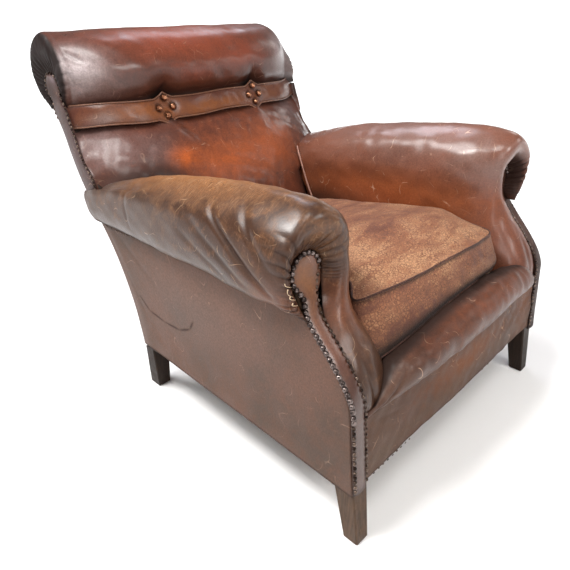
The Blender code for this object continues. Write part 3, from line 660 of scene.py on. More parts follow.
def rubbed_suede(name, raised, middle, sunken, grime_shade_colour):
    """Goat suede worn half smooth: nap scatters the light, so it is matt, with a soft sheen.

    The nap is rubbed to ochre on the high places and stays brown in the low ones, with a net of
    fine cracks about 5 mm across, streaks of grime along the seat, and near black in the seams and
    creases: grime with painted shade.
    """
    material, tree, shader = new_material(name, IOR=1.45, Sheen_Weight=0.03, Sheen_Roughness=0.5,
                                          Specular_IOR_Level=0.3)
    place = object_place(tree)
    rub, crease, sheen_mark = (marked(tree, mark) for mark in ("rub", "crease", "bloom"))
    # smears run across the seat: about 100 mm long and 35 mm wide
    smear = mapped(tree, place, Rotation=(0.0, 0.0, 0.35), Scale=(9.0, 26.0, 20.0))
    broad = noise(tree, smear, 1.0, 5.0, Roughness=0.62, Distortion=0.6)
    patch = noise(tree, place, 62.0, 8.0, Roughness=0.72)
    push = noise(tree, place, 120.0, 3.0, output="Color")
    island = cells(tree, moved(tree, scaled(tree, push, 0.008), place), 190.0)
    nap = noise(tree, place, 520.0, 2.0)
    mix = calc(tree, "MULTIPLY_ADD", rub, 0.42, calc(tree, "MULTIPLY_ADD", broad, 1.15, patch))
    mix = spread(tree, mix, 0.92, 1.40)
    ramp = add_node(tree, "ShaderNodeValToRGB", {"Fac": mix})
    stops = ramp.color_ramp.elements
    stops[0].color, stops[1].color = linear(sunken), linear(raised)
    between = stops.new(0.45)
    between.color = linear(middle)
    crack = spread(tree, island, 0.0, 0.20, 1.0, 0.0)
    crack = calc(tree, "MULTIPLY", crack, spread(tree, patch, 0.32, 0.54))
    colour = blend(tree, crack, ramp.outputs["Color"], sunken)
    colour = scaled(tree, colour, spread(tree, nap, 0.3, 0.7, 0.78, 1.22))
    colour = blend(tree, calc(tree, "MULTIPLY", sheen_mark, 0.8), colour, middle)
    # near black in seams, creases and gaps: grime with painted shade
    colour = blend(tree, spread(tree, crease, 0.0, 1.0, 0.0, 0.94), colour, grime_shade_colour)
    rough = spread(tree, patch, 0.3, 0.7, 0.55, 0.82)
    height = calc(tree, "MULTIPLY_ADD", nap, 0.5, calc(tree, "MULTIPLY_ADD", crack, -1.3, patch))
    bump = bumped(tree, height, 0.35, 0.0015)
    wire(tree, shader, Base_Color=colour, Roughness=rough, Normal=bump)
    return material


def antique_nails(name, bright, dull):
    """Bronze-plated steel upholstery nails: plating rubbed bright on top, brown in the hollows."""
    material, tree, shader = new_material(name, Metallic=1.0)
    place = object_place(tree)
    # each nail, 9 to 10 mm, has its own shade, and its plating is blotched about 2 mm across
    each = noise(tree, place, 110.0, 0.0)
    spot = noise(tree, place, 460.0, 2.0)
    tone = spread(tree, calc(tree, "MULTIPLY_ADD", spot, 0.5, each), 0.55, 0.95)
    colour = blend(tree, tone, dull, bright)
    rough = spread(tree, tone, 0.0, 1.0, 0.52, 0.27)
    wire(tree, shader, Base_Color=colour, Roughness=rough)
    return material


def stained_beech(name, light, deep, edge):
    """Beech, stained walnut brown and waxed: short dark flecks along the grain, scuffed pale."""
    material, tree, shader = new_material(name, IOR=1.5, Specular_IOR_Level=0.15)
    place = object_place(tree)
    # rings 2 to 3 mm apart running up the leg; flecks 1 mm by 12 mm
    up = mapped(tree, place, Scale=(260.0, 260.0, 11.0))
    ring = noise(tree, up, 1.0, 4.0, Roughness=0.6, Distortion=0.8)
    scuff = noise(tree, place, 45.0, 6.0, Roughness=0.7)
    colour = blend(tree, spread(tree, ring, 0.35, 0.68), deep, light)
    colour = blend(tree, spread(tree, scuff, 0.58, 0.72, 0.0, 0.6), colour, edge)
    rough = spread(tree, scuff, 0.3, 0.7, 0.38, 0.62)
    bump = bumped(tree, ring, 0.25, 0.0008)
    wire(tree, shader, Base_Color=colour, Roughness=rough, Normal=bump)
    return material


def plain_cloth(name, warp, weft, thread_mm):
    """Plain-weave jute or linen: threads cross over and under, so it is matt and checked."""
    material, tree, shader = new_material(name, IOR=1.4, Sheen_Weight=0.2, Roughness=0.9)
    place = object_place(tree)
    ply = [add_node(tree, "ShaderNodeTexWave", {"Vector": place, "Scale": 100.0 / thread_mm,
                    "Distortion": 0.6, "Detail": 1.0}, bands_direction=axis).outputs["Fac"]
           for axis in ("X", "Y")]
    over = calc(tree, "GREATER_THAN", *ply)
    stain = noise(tree, place, 30.0, 4.0)
    colour = blend(tree, over, warp, weft)
    colour = scaled(tree, colour, spread(tree, stain, 0.3, 0.7, 0.7, 1.1))
    bump = bumped(tree, calc(tree, "MAXIMUM", *ply), 0.5, 0.0005)
    wire(tree, shader, Base_Color=colour, Normal=bump)
    return material


def spring_wire(name, bare, rust):
    """Drawn steel wire, once lacquered black: dark bare metal with matt brown rust in patches."""
    material, tree, shader = new_material(name)
    place = object_place(tree)
    spot = noise(tree, place, 90.0, 5.0)
    tone = spread(tree, spot, 0.45, 0.6)
    colour = blend(tree, tone, bare, rust)
    metal = spread(tree, tone, 0.0, 1.0, 1.0, 0.2)
    rough = spread(tree, tone, 0.0, 1.0, 0.35, 0.8)
    wire(tree, shader, Base_Color=colour, Metallic=metal, Roughness=rough)
    return material


def make_finishes(leather):
    """Every finish, by name."""
    wax = {"scratches": leather.scratches, "coat": leather.shine}
    few = {"scratches": 0.5 * leather.scratches, "coat": leather.shine}
    # fourth colour of each hide: painted sheen and highlight with some greyed wax; its dark: grime
    # and painted shade
    old_hide("Crackled arm hide", leather.arm_colour, "#291a12", "#8a5c38", "#4e4038",
             crackle=leather.crackle, warm="#6c3c24", hair=0.7, roughness=0.42, scratch="#a98a6c",
             specular=0.12, coat=0.6 * leather.shine, scratches=leather.scratches)
    old_hide("Smooth arm hide", "#72412d", "#3c1d12", "#8e4c28", "#6e5046", warm="#88462a",
             crackle=0.25, roughness=0.38, **wax)
    old_hide("Facing hide", "#4a2c20", "#321d16", "#6c4428", "#704c40", roughness=0.34, **wax)
    old_hide("Dull panel hide", "#593f33", "#44342a", "#6c4a3a", "#6b5952", roughness=0.52,
             mottle=0.9, scratches=0.4 * leather.scratches, coat=0.05)
    old_hide("Lip hide", "#46291d", "#2f1b13", "#6f3b22", "#584439", roughness=0.42, coat=0.12,
             specular=0.2)
    old_hide("Border hide", "#4a2f20", "#372216", "#6a3e22", "#504034", roughness=0.45, coat=0.0,
             specular=0.12)
    old_hide("Back pad hide", leather.back_colour, "#331d16", "#8c4828", "#7a6664", warm="#b0541c",
             roughness=0.36, **few)
    # the roll's fourth colour is near white, a painted highlight; its near-black dark paints the
    # shade on its left end
    old_hide("Back roll hide", "#4a281c", "#2a1610", "#683422", "#b4a8a8", warm="#743520",
             dark="#0d0706", roughness=0.34, **few)
    old_hide("Strap hide", "#52291a", "#301c10", "#74401a", "#74625c", roughness=0.36, **few)
    old_hide("Side strip hide", "#3c2018", "#24130e", "#5e3826", "#66565a", roughness=0.42,
             coat=0.35)
    old_hide("Strap welt", "#6c4632", "#4c3024", "#95694e", "#8c7468", roughness=0.42, **wax)
    old_hide("Worn piping", "#a87c6c", "#7c5244", "#c09484", "#b8a098", roughness=0.5, **wax)
    old_hide("Raw hide edge", "#c9b194", "#a08468", "#d8c8ae", "#c8b8a4", roughness=0.8,
             scratches=0.0, coat=0.0)
    # the last colour of each suede is its near black: grime and painted shade in seams and gaps
    rubbed_suede("Rubbed suede", leather.suede_colour, "#80543a", "#5a3628", "#120a07")
    rubbed_suede("Suede welt", "#6e4633", "#4f3026", "#2c1b15", "#150b08")
    antique_nails("Bronzed nails", leather.nail_colour, "#2c2422")
    antique_nails("Blackened nails", "#6a5a50", "#231a16")
    antique_nails("Coppery studs", "#c08a6a", "#5a3626")
    stained_beech("Stained beech", "#56402f", "#38281c", "#6a5542")
    # the same beech darker: painted shade for the legs at the back and on the right
    stained_beech("Shaded beech", "#2c1e16", "#1c120c", "#3c2c20")
    stained_beech("Bare beech", "#b48a60", "#94704c", "#c4a078")
    plain_cloth("Linen ticking", "#b9a888", "#a39170", 1.2)
    plain_cloth("Jute webbing", "#a5865a", "#8a6c44", 2.0)
    plain_cloth("Black cambric", "#2b2725", "#221f1d", 0.8)
    spring_wire("Rusty spring wire", "#4a4542", "#5c3320")


# ---------------------------------------------------------------- arms

def arm_place(k, t):
    """Arm section at outline place k: ARM_BACK at the back end, bending to ARM_FRONT as (1-t)^2."""
    share = (1.0 - t)[..., None] ** 2
    return along(ARM_FRONT, k) * (1.0 - share) + along(ARM_BACK, k) * share


def arm_surface(side):
    """Hide over one arm: sections swept forward, then a cubic curve over the rim to the facing.

    Returns the grid (rows forward, columns round the section), each point's distance from the
    facing seam along the hide, and the length along that seam.
    """
    k = np.linspace(0.0, 10.0, 331)
    edge = along(ARM_EDGE[side], k)
    face = face_y(edge[:, 1])
    index = np.arange(11.0)
    bulge, reach, share = (through(np.stack([index, values], 1), k)
                           for values in (RIM_BULGE[side], RIM_START, RIM_FLAT))
    rim, tuck = face - bulge, face + 0.002
    turn_y = face + reach
    inner = rise(k, 4.2, 6.0)
    control = (rim - 0.125 * (turn_y + tuck)) / 0.75
    lead_y = control * (1.0 - inner) + (face + 0.004) * inner
    come_y = control * (1.0 - inner) + (face - 1.55 * bulge) * inner
    rear = along(ARM_BACK, k)
    beside = rise(rear[:, 0], 0.347, 0.358)
    end = back_y(rear[:, 1]) - 0.001 * beside - 0.049 * (1.0 - beside)
    s = down(0.0, 1.0, 150)
    y = end + (turn_y - end) * s
    t = (y - end) / (rim - end)
    section = arm_place(np.broadcast_to(k, t.shape), t)
    body = np.stack([section[..., 0], y, section[..., 1]], -1)
    u = np.linspace(0.0, 1.0, 61)[1:, None, None]
    first = body[-1]
    last = np.stack([edge[:, 0], tuck, edge[:, 1]], -1)
    lead = np.stack([first[:, 0] + 0.05 * inner * (last[:, 0] - first[:, 0]), lead_y,
                     first[:, 2]], -1)
    come = np.stack([last[:, 0] + share * (first[:, 0] - last[:, 0]), come_y,
                     last[:, 2] + share * (first[:, 2] - last[:, 2])], -1)
    grid = np.concatenate([body, cubic(u, first, lead, come, last)], 0)
    gap = run_along(grid[::-1])[::-1]
    return grid, gap, np.broadcast_to(run_along(edge), gap.shape), np.broadcast_to(k, gap.shape)


def gathers(run, gap, pitch, reach, seed):
    """Gathered hide: |sin| ridges round a seam, uneven in width and length, sharp in the valleys.

    Returns the height (0 in a valley, 1 on a ridge) and how strong the gather is there.
    """
    rng = np.random.default_rng(seed)
    a, b, c, d = rng.uniform(0.0, 2.0 * math.pi, 4)
    phase = math.pi * run / pitch + 0.9 * np.sin(61.0 * run + a) + 0.6 * np.sin(143.0 * run + b)
    phase = phase + 9.0 * gap * np.sin(31.0 * run + c)
    ridge = np.abs(np.sin(phase)) ** 0.75
    length = reach * (0.75 + 0.40 * np.sin(97.0 * run + d))
    strength = fade(gap, 0.25 * length, 1.35 * length) * rise(gap, 0.0005, 0.006)
    return ridge, strength


def arm_cover(side, finish):
    """One arm's hide with its gathers, its slack folds, its wear, and its painted sheen and shade.
    """
    grid, gap, run, k = arm_surface(side)
    if side > 0:
        # this roll is tucked in low down at its front, behind the facing strip
        tucked = fade(k, 0.4, 2.6) * rise(-grid[..., 1], 0.22, 0.37)
        grid = grid + np.array([-0.030, 0.0, 0.016]) * tucked[..., None]
    out = normals(grid)
    y, z = grid[..., 1], grid[..., 2]
    ridge, strength = gathers(run, gap, 0.0085 if side < 0 else 0.0100,
                             0.056 + 0.012 * fade(k, 3.0, 5.0), 5 + side)
    round_head = rise(k, 0.1, 1.2) * fade(k, 6.2, 7.2)
    strength = strength * round_head * (1.0 - 0.55 * rise(k, 4.3, 5.2))
    thin, near = gathers(run, gap, 0.0046, 0.034, 25 + side)
    near = near * round_head
    push = 0.0030 * (ridge - 0.72) * strength + 0.0011 * (thin - 0.7) * near
    # pleat valleys darkened: grime with painted shade
    crease = strength * (0.18 + 0.95 * (1.0 - ridge) ** 1.8) + 0.7 * near * (1.0 - thin) ** 1.6
    # slack: long shallow hollows, more of them low on the outside
    push = push + uneven(grid, (0.0014, 0.16, 11 + side), (0.0005, 0.045, 21 + side))
    push = push + (0.007 * bell(k, 3.4, 1.8) * rise(gap, 0.0, 0.07) if side > 0 else 0.0)
    outer = fade(k, 3.0, 3.9)
    push, crease = folded(push, crease, y, z, ARM_FOLDS[side], 110.0, 1.6, outer)
    lip_fold = rise(k, 8.2, 9.4) * bell(gap, 0.028, 0.008)
    push = push - 0.0030 * lip_fold
    # darker in the fold over the lip and at the seam to the facing strip, and painted shade along
    # the seam under the roll
    crease = crease + 0.25 * lip_fold + 0.9 * fade(gap, 0.0, 0.004)
    crease = crease + 0.85 * fade(z, 0.400, 0.413) * (k < 1.0)
    grid = grid + out * push[..., None]
    # rubbed patches, painted sheen and highlights with some greyed wax, warm patches
    rub, bloom, warm = wear(y, k, *ARM_WEAR[side])
    # painted shade on the right arm: near black round the end of its roll, darker low at its front,
    # dark along its bottom above the cushion
    if side > 0:
        crease = crease + 0.90 * fade(gap, 0.030, 0.060) * fade(k, 4.4, 5.6)
        crease = crease + 0.35 * bell(k, 8.3, 1.5) * bell(y, -0.34, 0.09)
        crease = crease + 0.90 * rise(k, 7.2, 8.5) * rise(y, -0.16, 0.08)
    grid[..., 0] *= side
    piece = skin(side_name("arm_cover", side), grid, finish, flip=side < 0, rub=rub,
                 bloom=bloom, warm=warm, crease=crease)
    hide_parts(side_name("arm_pad", side))


def strip_bend(z):
    """How far a facing strip leans inwards at height z on its way up to its head."""
    return 0.011 * rise(z, 0.395, 0.430)


def facing_outline(count):
    """Half outline of the facing strip: height and half width, a neck under a round head."""
    angle = np.linspace(-0.88, 0.5 * math.pi, count // 3)
    head = np.stack([HEAD_Z + HEAD_R * np.sin(angle), HEAD_R * np.cos(angle)], 1)
    low_z = np.linspace(STRIP_LOW, head[0, 0] - 0.004, count - count // 3)
    neck = 0.5 * (STRIP_OUT - STRIP_IN)
    shoulder = neck - 0.0012 * bell(low_z, 0.400, 0.025) + 0.0030 * rise(low_z, 0.395, 0.435)
    low_part = np.stack([low_z, shoulder], 1)
    low_part[0, 1] *= 0.985
    return np.concatenate([low_part, head])


def facing_strip(side, finish):
    """Padded strip up the arm's front: a lens section carried up its S line to a round head."""
    outline = facing_outline(90)
    z, half = outline[:, 0][:, None], np.maximum(outline[:, 1], 0.0004)[:, None]
    turn = across(0.0, math.pi, 25)
    u = -np.cos(turn)
    swell = 0.0052 * np.sin(turn) ** 0.8 * np.minimum(half / 0.02, 1.0)
    middle = 0.5 * (STRIP_IN + STRIP_OUT) - strip_bend(z) - 0.0030 * rise(z, 0.395, 0.435)
    middle = middle + (HEAD_X - middle) * rise(z, 0.428, 0.455)
    x = middle + half * u
    y = face_y(z) + 0.0015 - swell
    front = points_at(x, y, z)
    push = 0.0006 * ripple(front * [1, 1, 0.5], 0.05, 31 + side)
    front[..., 1] += push * np.sin(turn)
    grid = closed(front, points_at(x, face_y(z) + 0.0035, z))
    grid[..., 0] *= side
    rub = (0.95 * bell(z, 0.455, 0.030) * bell(u, 0.15, 0.75) + 0.55 * bell(z, 0.395, 0.045)
           * bell(u, 0.2, 0.8))
    # painted highlights on the head and halfway up; painted shade at the turned edges and low down;
    # the right strip is darker all over, with a painted highlight under its head
    bloom = 0.8 * bell(z, 0.478, 0.016) * bell(u, -0.6, 0.5) + 0.55 * bell(z, 0.37, 0.035)
    crease = 0.55 * np.abs(u) ** 8 + 0.30 * fade(z, 0.118, 0.135) + 0.20 * fade(z, 0.26, 0.34)
    if side > 0:
        rub, bloom, crease = 0.1 * rub, bloom + 0.4 * bell(z, 0.45, 0.02), crease + 0.6
    piece = weld(skin(side_name("facing_strip", side), grid, finish, ring=True, flip=side < 0,
                      **ring_marks(rub=rub, bloom=bloom, crease=crease)))
    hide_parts(side_name("arm_facing", side))


def facing_nails(side, outer_finish, inner_finish, pitch):
    """Two rows of nails: big ones up the outer edge and over the head, small ones inside."""
    z = np.linspace(STRIP_LOW + 0.006, 0.424, 160)
    climb = np.radians(np.linspace(-35.0, 168.0, 100))
    ring = 0.0305
    x = np.concatenate([STRIP_OUT - 0.0005 - strip_bend(z), HEAD_X + 0.002 + ring * np.cos(climb)])
    height = np.concatenate([z, HEAD_Z + 0.003 + ring * np.sin(climb)])
    # up the neck of the right one the nails stand further in and back
    tucked = (side > 0) * (height < 0.43)
    path = points_at(side * (x - 0.005 * tucked), face_y(height) - 0.0025 + 0.0045 * tucked,
                     height)
    spots = spaced(path, pitch, seed=40 + side)
    facing = points_at(0.30 * side * (spots[:, 2] < 0.43), -1.0, slope_of(face_y, spots[:, 2]))
    # smaller nails low down, where the big ones were replaced
    lower = spots[:, 2] < 0.262
    big = domes(side_name("facing_nails", side), spots[~lower], facing[~lower], BIG_NAIL,
                outer_finish, seed=60 + side)
    small = domes(side_name("facing_low_nails", side), spots[lower], facing[lower], SMALL_NAIL,
                  inner_finish, seed=70 + side)
    z = np.linspace(STRIP_LOW + 0.010, 0.470, 150)
    inward = STRIP_IN + 0.0004 - strip_bend(z) - 0.0165 * rise(z, 0.424, 0.462)
    spots = spaced(points_at(side * inward, face_y(z) - HIDE, z), 0.0098, seed=44 + side)
    facing = points_at(-0.3 * side, -1.0, slope_of(face_y, spots[:, 2]))
    tacks = domes(side_name("facing_tacks", side), spots, facing, INNER_NAIL, inner_finish,
                  seed=80 + side)


def outside_panel(side, finish):
    """Hide stretched down the outside of an arm, its back edge rolled round the upright."""
    u = across(0.0, 1.0, 150)
    v = down(0.0, 1.0, 110)
    bottom = low(side_name("outside_arm", side))[2] + 0.017 * u
    top = 0.392 + 0.012 * (1.0 - u)
    z = bottom + (top - bottom) * v
    front, back = face_y(z) + 0.004, through(REAR_LINE, z)
    y = front + (back - front) * u
    near_back = back - y
    # the last 12 mm rolls 6 mm inwards
    rolled = (1.0 - near_back / 0.012).clip(0.0, 1.0)
    x = PANEL_X + 0.0006 - 0.006 * (1.0 - np.sqrt(1.0 - rolled**2))
    grid = points_at(x, y, z)
    # darker along the bottom edge, and painted shade under the roll
    crease = 0.75 * fade(z, bottom, bottom + 0.006) + 0.45 * rise(z, top - 0.012, top)
    push = 0.0011 * ripple(grid * [1, 1, 0.6], 0.20, 51 + side) * fade(u, 0.94, 1.0)
    push, crease = folded(push, crease, y, z, PANEL_FOLDS, 130.0, 2)
    if side < 0:
        for start, end in zip(PANEL_SCRATCH, PANEL_SCRATCH[1:]):
            crease = np.maximum(crease, 0.85 * line_depth(y, z, start, end, 0.0022))
    grid[..., 0] += push
    # painted sheen across the middle and a painted highlight along the rolled back edge
    bloom = 0.55 * bell(z, 0.30, 0.10) * bell(y, -0.05, 0.25) + 0.7 * bell(near_back, 0.016, 0.014)
    rub = 0.30 * bell(z, 0.345, 0.05) * bell(y, -0.05, 0.16) + 0.12
    grid[..., 0] *= side
    piece = skin(side_name("outside_panel", side), grid, finish, flip=side < 0, rub=rub,
                 bloom=bloom, crease=crease)
    thicken(piece)
    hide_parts(side_name("outside_arm", side))


def under_roll_tacks(side, finish):
    """Dark tacks in the seam under the roll, showing through the folded edge."""
    y = np.linspace(0.235, -0.318, 200)
    path = points_at(side * (PANEL_X + 0.0016), y, through(UNDER_ROLL, y))
    spots = spaced(path, 0.019, seed=90 + side)
    piece = domes(side_name("roll_tacks", side), spots, (side, 0.0, -0.15), ROLL_TACK, finish,
                  seed=92 + side)


def frayed_hide(side, finish):
    """Torn edge of the hide beside the head: thin curled strips, each a flat ribbon on an arc."""
    rng = np.random.default_rng(7)
    rows, ribbons = 12, []
    for number in range(4):
        y0, z0 = -0.326 - 0.005 * number, 0.460 - 0.0090 * number
        length = rng.uniform(0.007, 0.014)
        s = down(0.0, 1.0, rows)
        w = across(-1.0, 1.0, 3) * 0.0008 * (1.2 - s)
        bend = rng.uniform(-0.5, 0.5)
        x = 0.3745 + 0.006 * np.sin(math.pi * s) - 0.004 * s
        y = y0 + 0.006 - length * s * (0.6 + 0.2 * bend) + 0.4 * w
        z = z0 - length * 0.75 * s**1.3 + w + bend * 0.006 * s
        ribbons.append(points_at(side * x, y, z))
    number = np.arange(len(ribbons) * rows * 3).reshape(len(ribbons), rows, 3)
    quads = np.stack([number[:, :-1, :-1], number[:, :-1, 1:], number[:, 1:, 1:],
                      number[:, 1:, :-1]], -1).reshape(-1, 4)
    piece = mesh_piece("frayed_hide", np.concatenate(ribbons), quads.tolist(), finish)
    thicken(piece, 0.0006, 0.0)


# ---------------------------------------------------------------- seat

def cushion_plan(u, v, level):
    """Plan of the loose cushion: its front edge runs from CUSHION_LOW up to CUSHION_TOP."""
    wider = (0.067 - 0.030 * level) * (u < 0) * fade(v, 0.0, 0.14)
    x = (CUSHION_HALF + wider) * u
    front = through(CUSHION_LOW, x) * (1.0 - level) + through(CUSHION_TOP, x) * level
    back = 0.092 + 0.018 * level - 0.006 * np.abs(u) ** 6
    return x, front + (back - front) * v


def cushion_rings(count):
    """Closed outline of the cushion in its own square: |u|^n + |v|^n = 1, n = 13 right, 16 left."""
    a = np.linspace(0.0, 2.0 * math.pi, count, endpoint=False)
    n = np.where(np.cos(a) < 0.0, 16.0, 13.0)
    size = (np.abs(np.cos(a)) ** n + np.abs(np.sin(a)) ** n) ** (-1.0 / n)
    return size * np.cos(a), size * np.sin(a)


def cushion_surface(crown, puff):
    """Closed cushion: rings from the middle of the top to its seam, down the boxing, and under.

    The top rises from its seam as (1 - r^5), the boxing bulges as sin of its height, and the
    underside lies on the deck. Returns the grid, with top seam and bottom seam row numbers.
    """
    ring_u, ring_v = cushion_rings(280)
    r = np.sin(np.linspace(0.0, 0.5 * math.pi, 74)) ** 1.05
    u, v = r[:, None] * ring_u, 0.5 + 0.5 * r[:, None] * ring_v
    x, y = cushion_plan(u, v, 1.0)
    rest_x, rest_y = cushion_plan(u, v, 0.0)
    base = cushion_bed(rest_x, rest_y)
    wall = 0.063 + 0.043 * rise(v, 0.0, 0.3) + 0.010 * u**4 * fade(v, 0.0, 0.2)
    wall = wall + 0.012 * rise(-u, 0.3, 1.0) * fade(v, 0.0, 0.3)
    dome = crown * (1.0 - r[:, None] ** 5) * (1.0 - 0.35 * np.abs(u) ** 3)
    top = np.stack([x, y, base + wall + dome], -1)
    h = np.linspace(1.0, 0.0, 26)[1:, None]
    edge_x, edge_y = cushion_plan(ring_u[None, :], 0.5 + 0.5 * ring_v[None, :], h)
    low_x, low_y = cushion_plan(ring_u[None, :], 0.5 + 0.5 * ring_v[None, :], 0.0 * h)
    z = cushion_bed(low_x, low_y) + wall[-1:] * h
    way = np.stack([ring_u * np.abs(ring_u) ** 7, ring_v * np.abs(ring_v) ** 7], -1)
    way /= np.linalg.norm(way, axis=-1, keepdims=True)
    swell = puff * np.sin(math.pi * h) ** 0.8 * np.where(ring_v < 0.2, 1.0, 0.35)[None, :]
    boxing = np.stack([edge_x + swell * way[:, 0], edge_y + swell * way[:, 1], z], -1)
    r = np.linspace(1.0, 0.0, 30)[1:, None]
    under_x, under_y = cushion_plan(r * ring_u, 0.5 + 0.5 * r * ring_v, 0.0)
    under = np.stack([under_x, under_y, cushion_bed(under_x, under_y)], -1)
    return np.concatenate([top, boxing, under]), len(top) - 1, len(top) + len(boxing) - 1


def simulate(source, pressure, frames, cap):
    """Swells a closed mesh as cloth under air pressure and returns where its points move.

    The copy is voxel remeshed at 6 mm and pinned nowhere; gravity is off; moves are capped.
    """
    copy = bpy.data.objects.new("swelling", source.data.copy())
    bpy.context.scene.collection.objects.link(copy)
    remesh = copy.modifiers.new("Even", "REMESH")
    remesh.mode, remesh.voxel_size = "VOXEL", 0.006
    bpy.context.view_layer.update()
    even = bpy.data.meshes.new_from_object(copy.evaluated_get(
        bpy.context.evaluated_depsgraph_get()))
    copy.modifiers.clear()
    copy.data = even
    rest = np.empty(len(even.vertices) * 3)
    even.vertices.foreach_get("co", rest)
    cloth = copy.modifiers.new("Cloth", "CLOTH")
    cloth.settings.use_pressure = True
    cloth.settings.uniform_pressure_force = pressure
    cloth.settings.effector_weights.gravity = 0.0
    cloth.settings.quality = 5
    cloth.settings.tension_stiffness = cloth.settings.compression_stiffness = 25.0
    cloth.settings.bending_stiffness = 0.4
    cloth.point_cache.frame_start, cloth.point_cache.frame_end = 1, frames
    for frame_number in range(1, frames + 1):
        bpy.context.scene.frame_set(frame_number)
    swollen = copy.evaluated_get(bpy.context.evaluated_depsgraph_get()).data
    after = np.empty(len(swollen.vertices) * 3)
    swollen.vertices.foreach_get("co", after)
    bpy.context.scene.frame_set(1)
    bpy.data.objects.remove(copy)
    rest = rest.reshape(-1, 3)
    shift = after.reshape(-1, 3) - rest
    size = np.linalg.norm(shift, axis=1, keepdims=True)
    return rest, shift * np.minimum(1.0, cap / np.maximum(size, 1e-9))


def carried(points, rest, shift, reach=0.014):
    """Moves read at other points: a mean of the shifts near each, weighted exp(-(gap/reach)^2)."""
    flat = points.reshape(-1, 3)
    result = np.empty_like(flat)
    for start in range(0, len(flat), 1500):
        block = flat[start:start + 1500]
        gap = ((block[:, None, :] - rest[None, :, :]) ** 2).sum(-1)
        weight = np.exp(-gap / reach**2) + 1e-12
        result[start:start + 1500] = weight @ shift / weight.sum(1, keepdims=True)
    return result.reshape(points.shape)


def cushion(finish, cord_finish, crown, puff, pressure):
    """The loose cushion: swollen as cloth, then its welts, its wear and its painted shade."""
    grid, top_seam, low_seam = cushion_surface(crown, puff)
    draft = weld(skin("draft", grid, finish, ring=True))
    rest, shift = simulate(draft, pressure, SWELL_FRAMES, SWELL_MOST)
    shift = carried(grid, rest, shift)
    deck = seat_deck(grid[..., 0], grid[..., 1])
    free = rise(grid[..., 2], deck + 0.012, deck + 0.05)
    grid = grid + shift * free[..., None]
    bpy.data.objects.remove(draft)
    row = np.arange(len(grid))[:, None]
    x, y = grid[..., 0], grid[..., 1]
    sag = 0.005 * bell(x, -0.02, 0.12) * bell(y, -0.10, 0.14)
    push = uneven(grid, (0.0020, 0.13, 101), (0.0007, 0.035, 102)) - sag
    seam = np.minimum(np.abs(row - top_seam), np.abs(row - low_seam))
    push = push * rise(seam, 0, 5) * (row < low_seam)
    grid = grid + normals(np.concatenate([grid, grid[:, :1]], 1))[:, :-1] * push[..., None]
    # grime with painted shade: at the top seam, low on the boxing where it meets the lip, a little
    # down the boxing, and at the back under the back pad
    crease = 0.70 * bell(row, top_seam + 1.0, 0.9) + 0.85 * rise(row, low_seam - 9, low_seam - 1)
    crease = crease + 0.25 * rise(row, top_seam + 3, low_seam - 6) + 0.35 * rise(y, 0.03, 0.09)
    rub, = wear(x, y, CUSHION_WEAR)
    rub = rub * (row <= top_seam) + (row > top_seam) * (0.10 * bell(x, -0.21, 0.04)
                                                        + 0.30 * bell(x, 0.20, 0.035))
    rub = rub + 0.35 * bell(row, top_seam - 3, 4)
    piece = weld(skin("cushion", grid, finish, ring=True, flip=True, most=1.2, rub=rub,
                      crease=np.minimum(crease, 1.0)))
    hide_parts("seat_cushion")
    for name, seam_row, radius in (("cushion_welt_top", top_seam, 0.0021),
                                   ("cushion_welt_low", low_seam, 0.0013)):
        path = grid[seam_row] + [0.0, 0.0, -0.0004]
        path = np.concatenate([path, path[:3]], 0)
        cord_mesh(name, path, radius, cord_finish)


def platform(finish):
    """Stuffed platform tied down on the springs: a low pad with a valley between its rows."""
    u = across(-1.0, 1.0, 70)
    v = down(0.0, 1.0, 80)
    a, b = low("seat_platform"), high("seat_platform")
    x, y = np.broadcast_arrays(b[0] * u, a[1] + (b[1] - a[1]) * v)
    edge = (1.0 - np.abs(u) ** 10) * (1.0 - np.abs(2.0 * v - 1.0) ** 10)
    bumps = ripple(points_at(x, y, 0.0), 0.09, 8)
    top = seat_deck(x, y) - 0.0025 - 0.014 * (1.0 - edge) - 0.0012 * bumps**2
    tie = np.cos(2 * math.pi * x / 0.15) * np.cos(2 * math.pi * (y + 0.14) / 0.16)
    under = seat_deck(0.213, y + 0.010) - 0.0495 + 0.010 * (1.0 - edge) + 0.0010 * (1.0 - tie)
    grid = closed(points_at(x, y, top), points_at(x, y, np.minimum(under, top - 0.002)))
    piece = weld(skin("platform", grid, finish, ring=True))
    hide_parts("seat_platform")


def lip_top(x):
    """Top of the padded lip: under the cushion, then dropping away under the arms."""
    return seat_deck(x, -0.422) + 0.0050 - 0.041 * rise(np.abs(x), 0.225, 0.315)


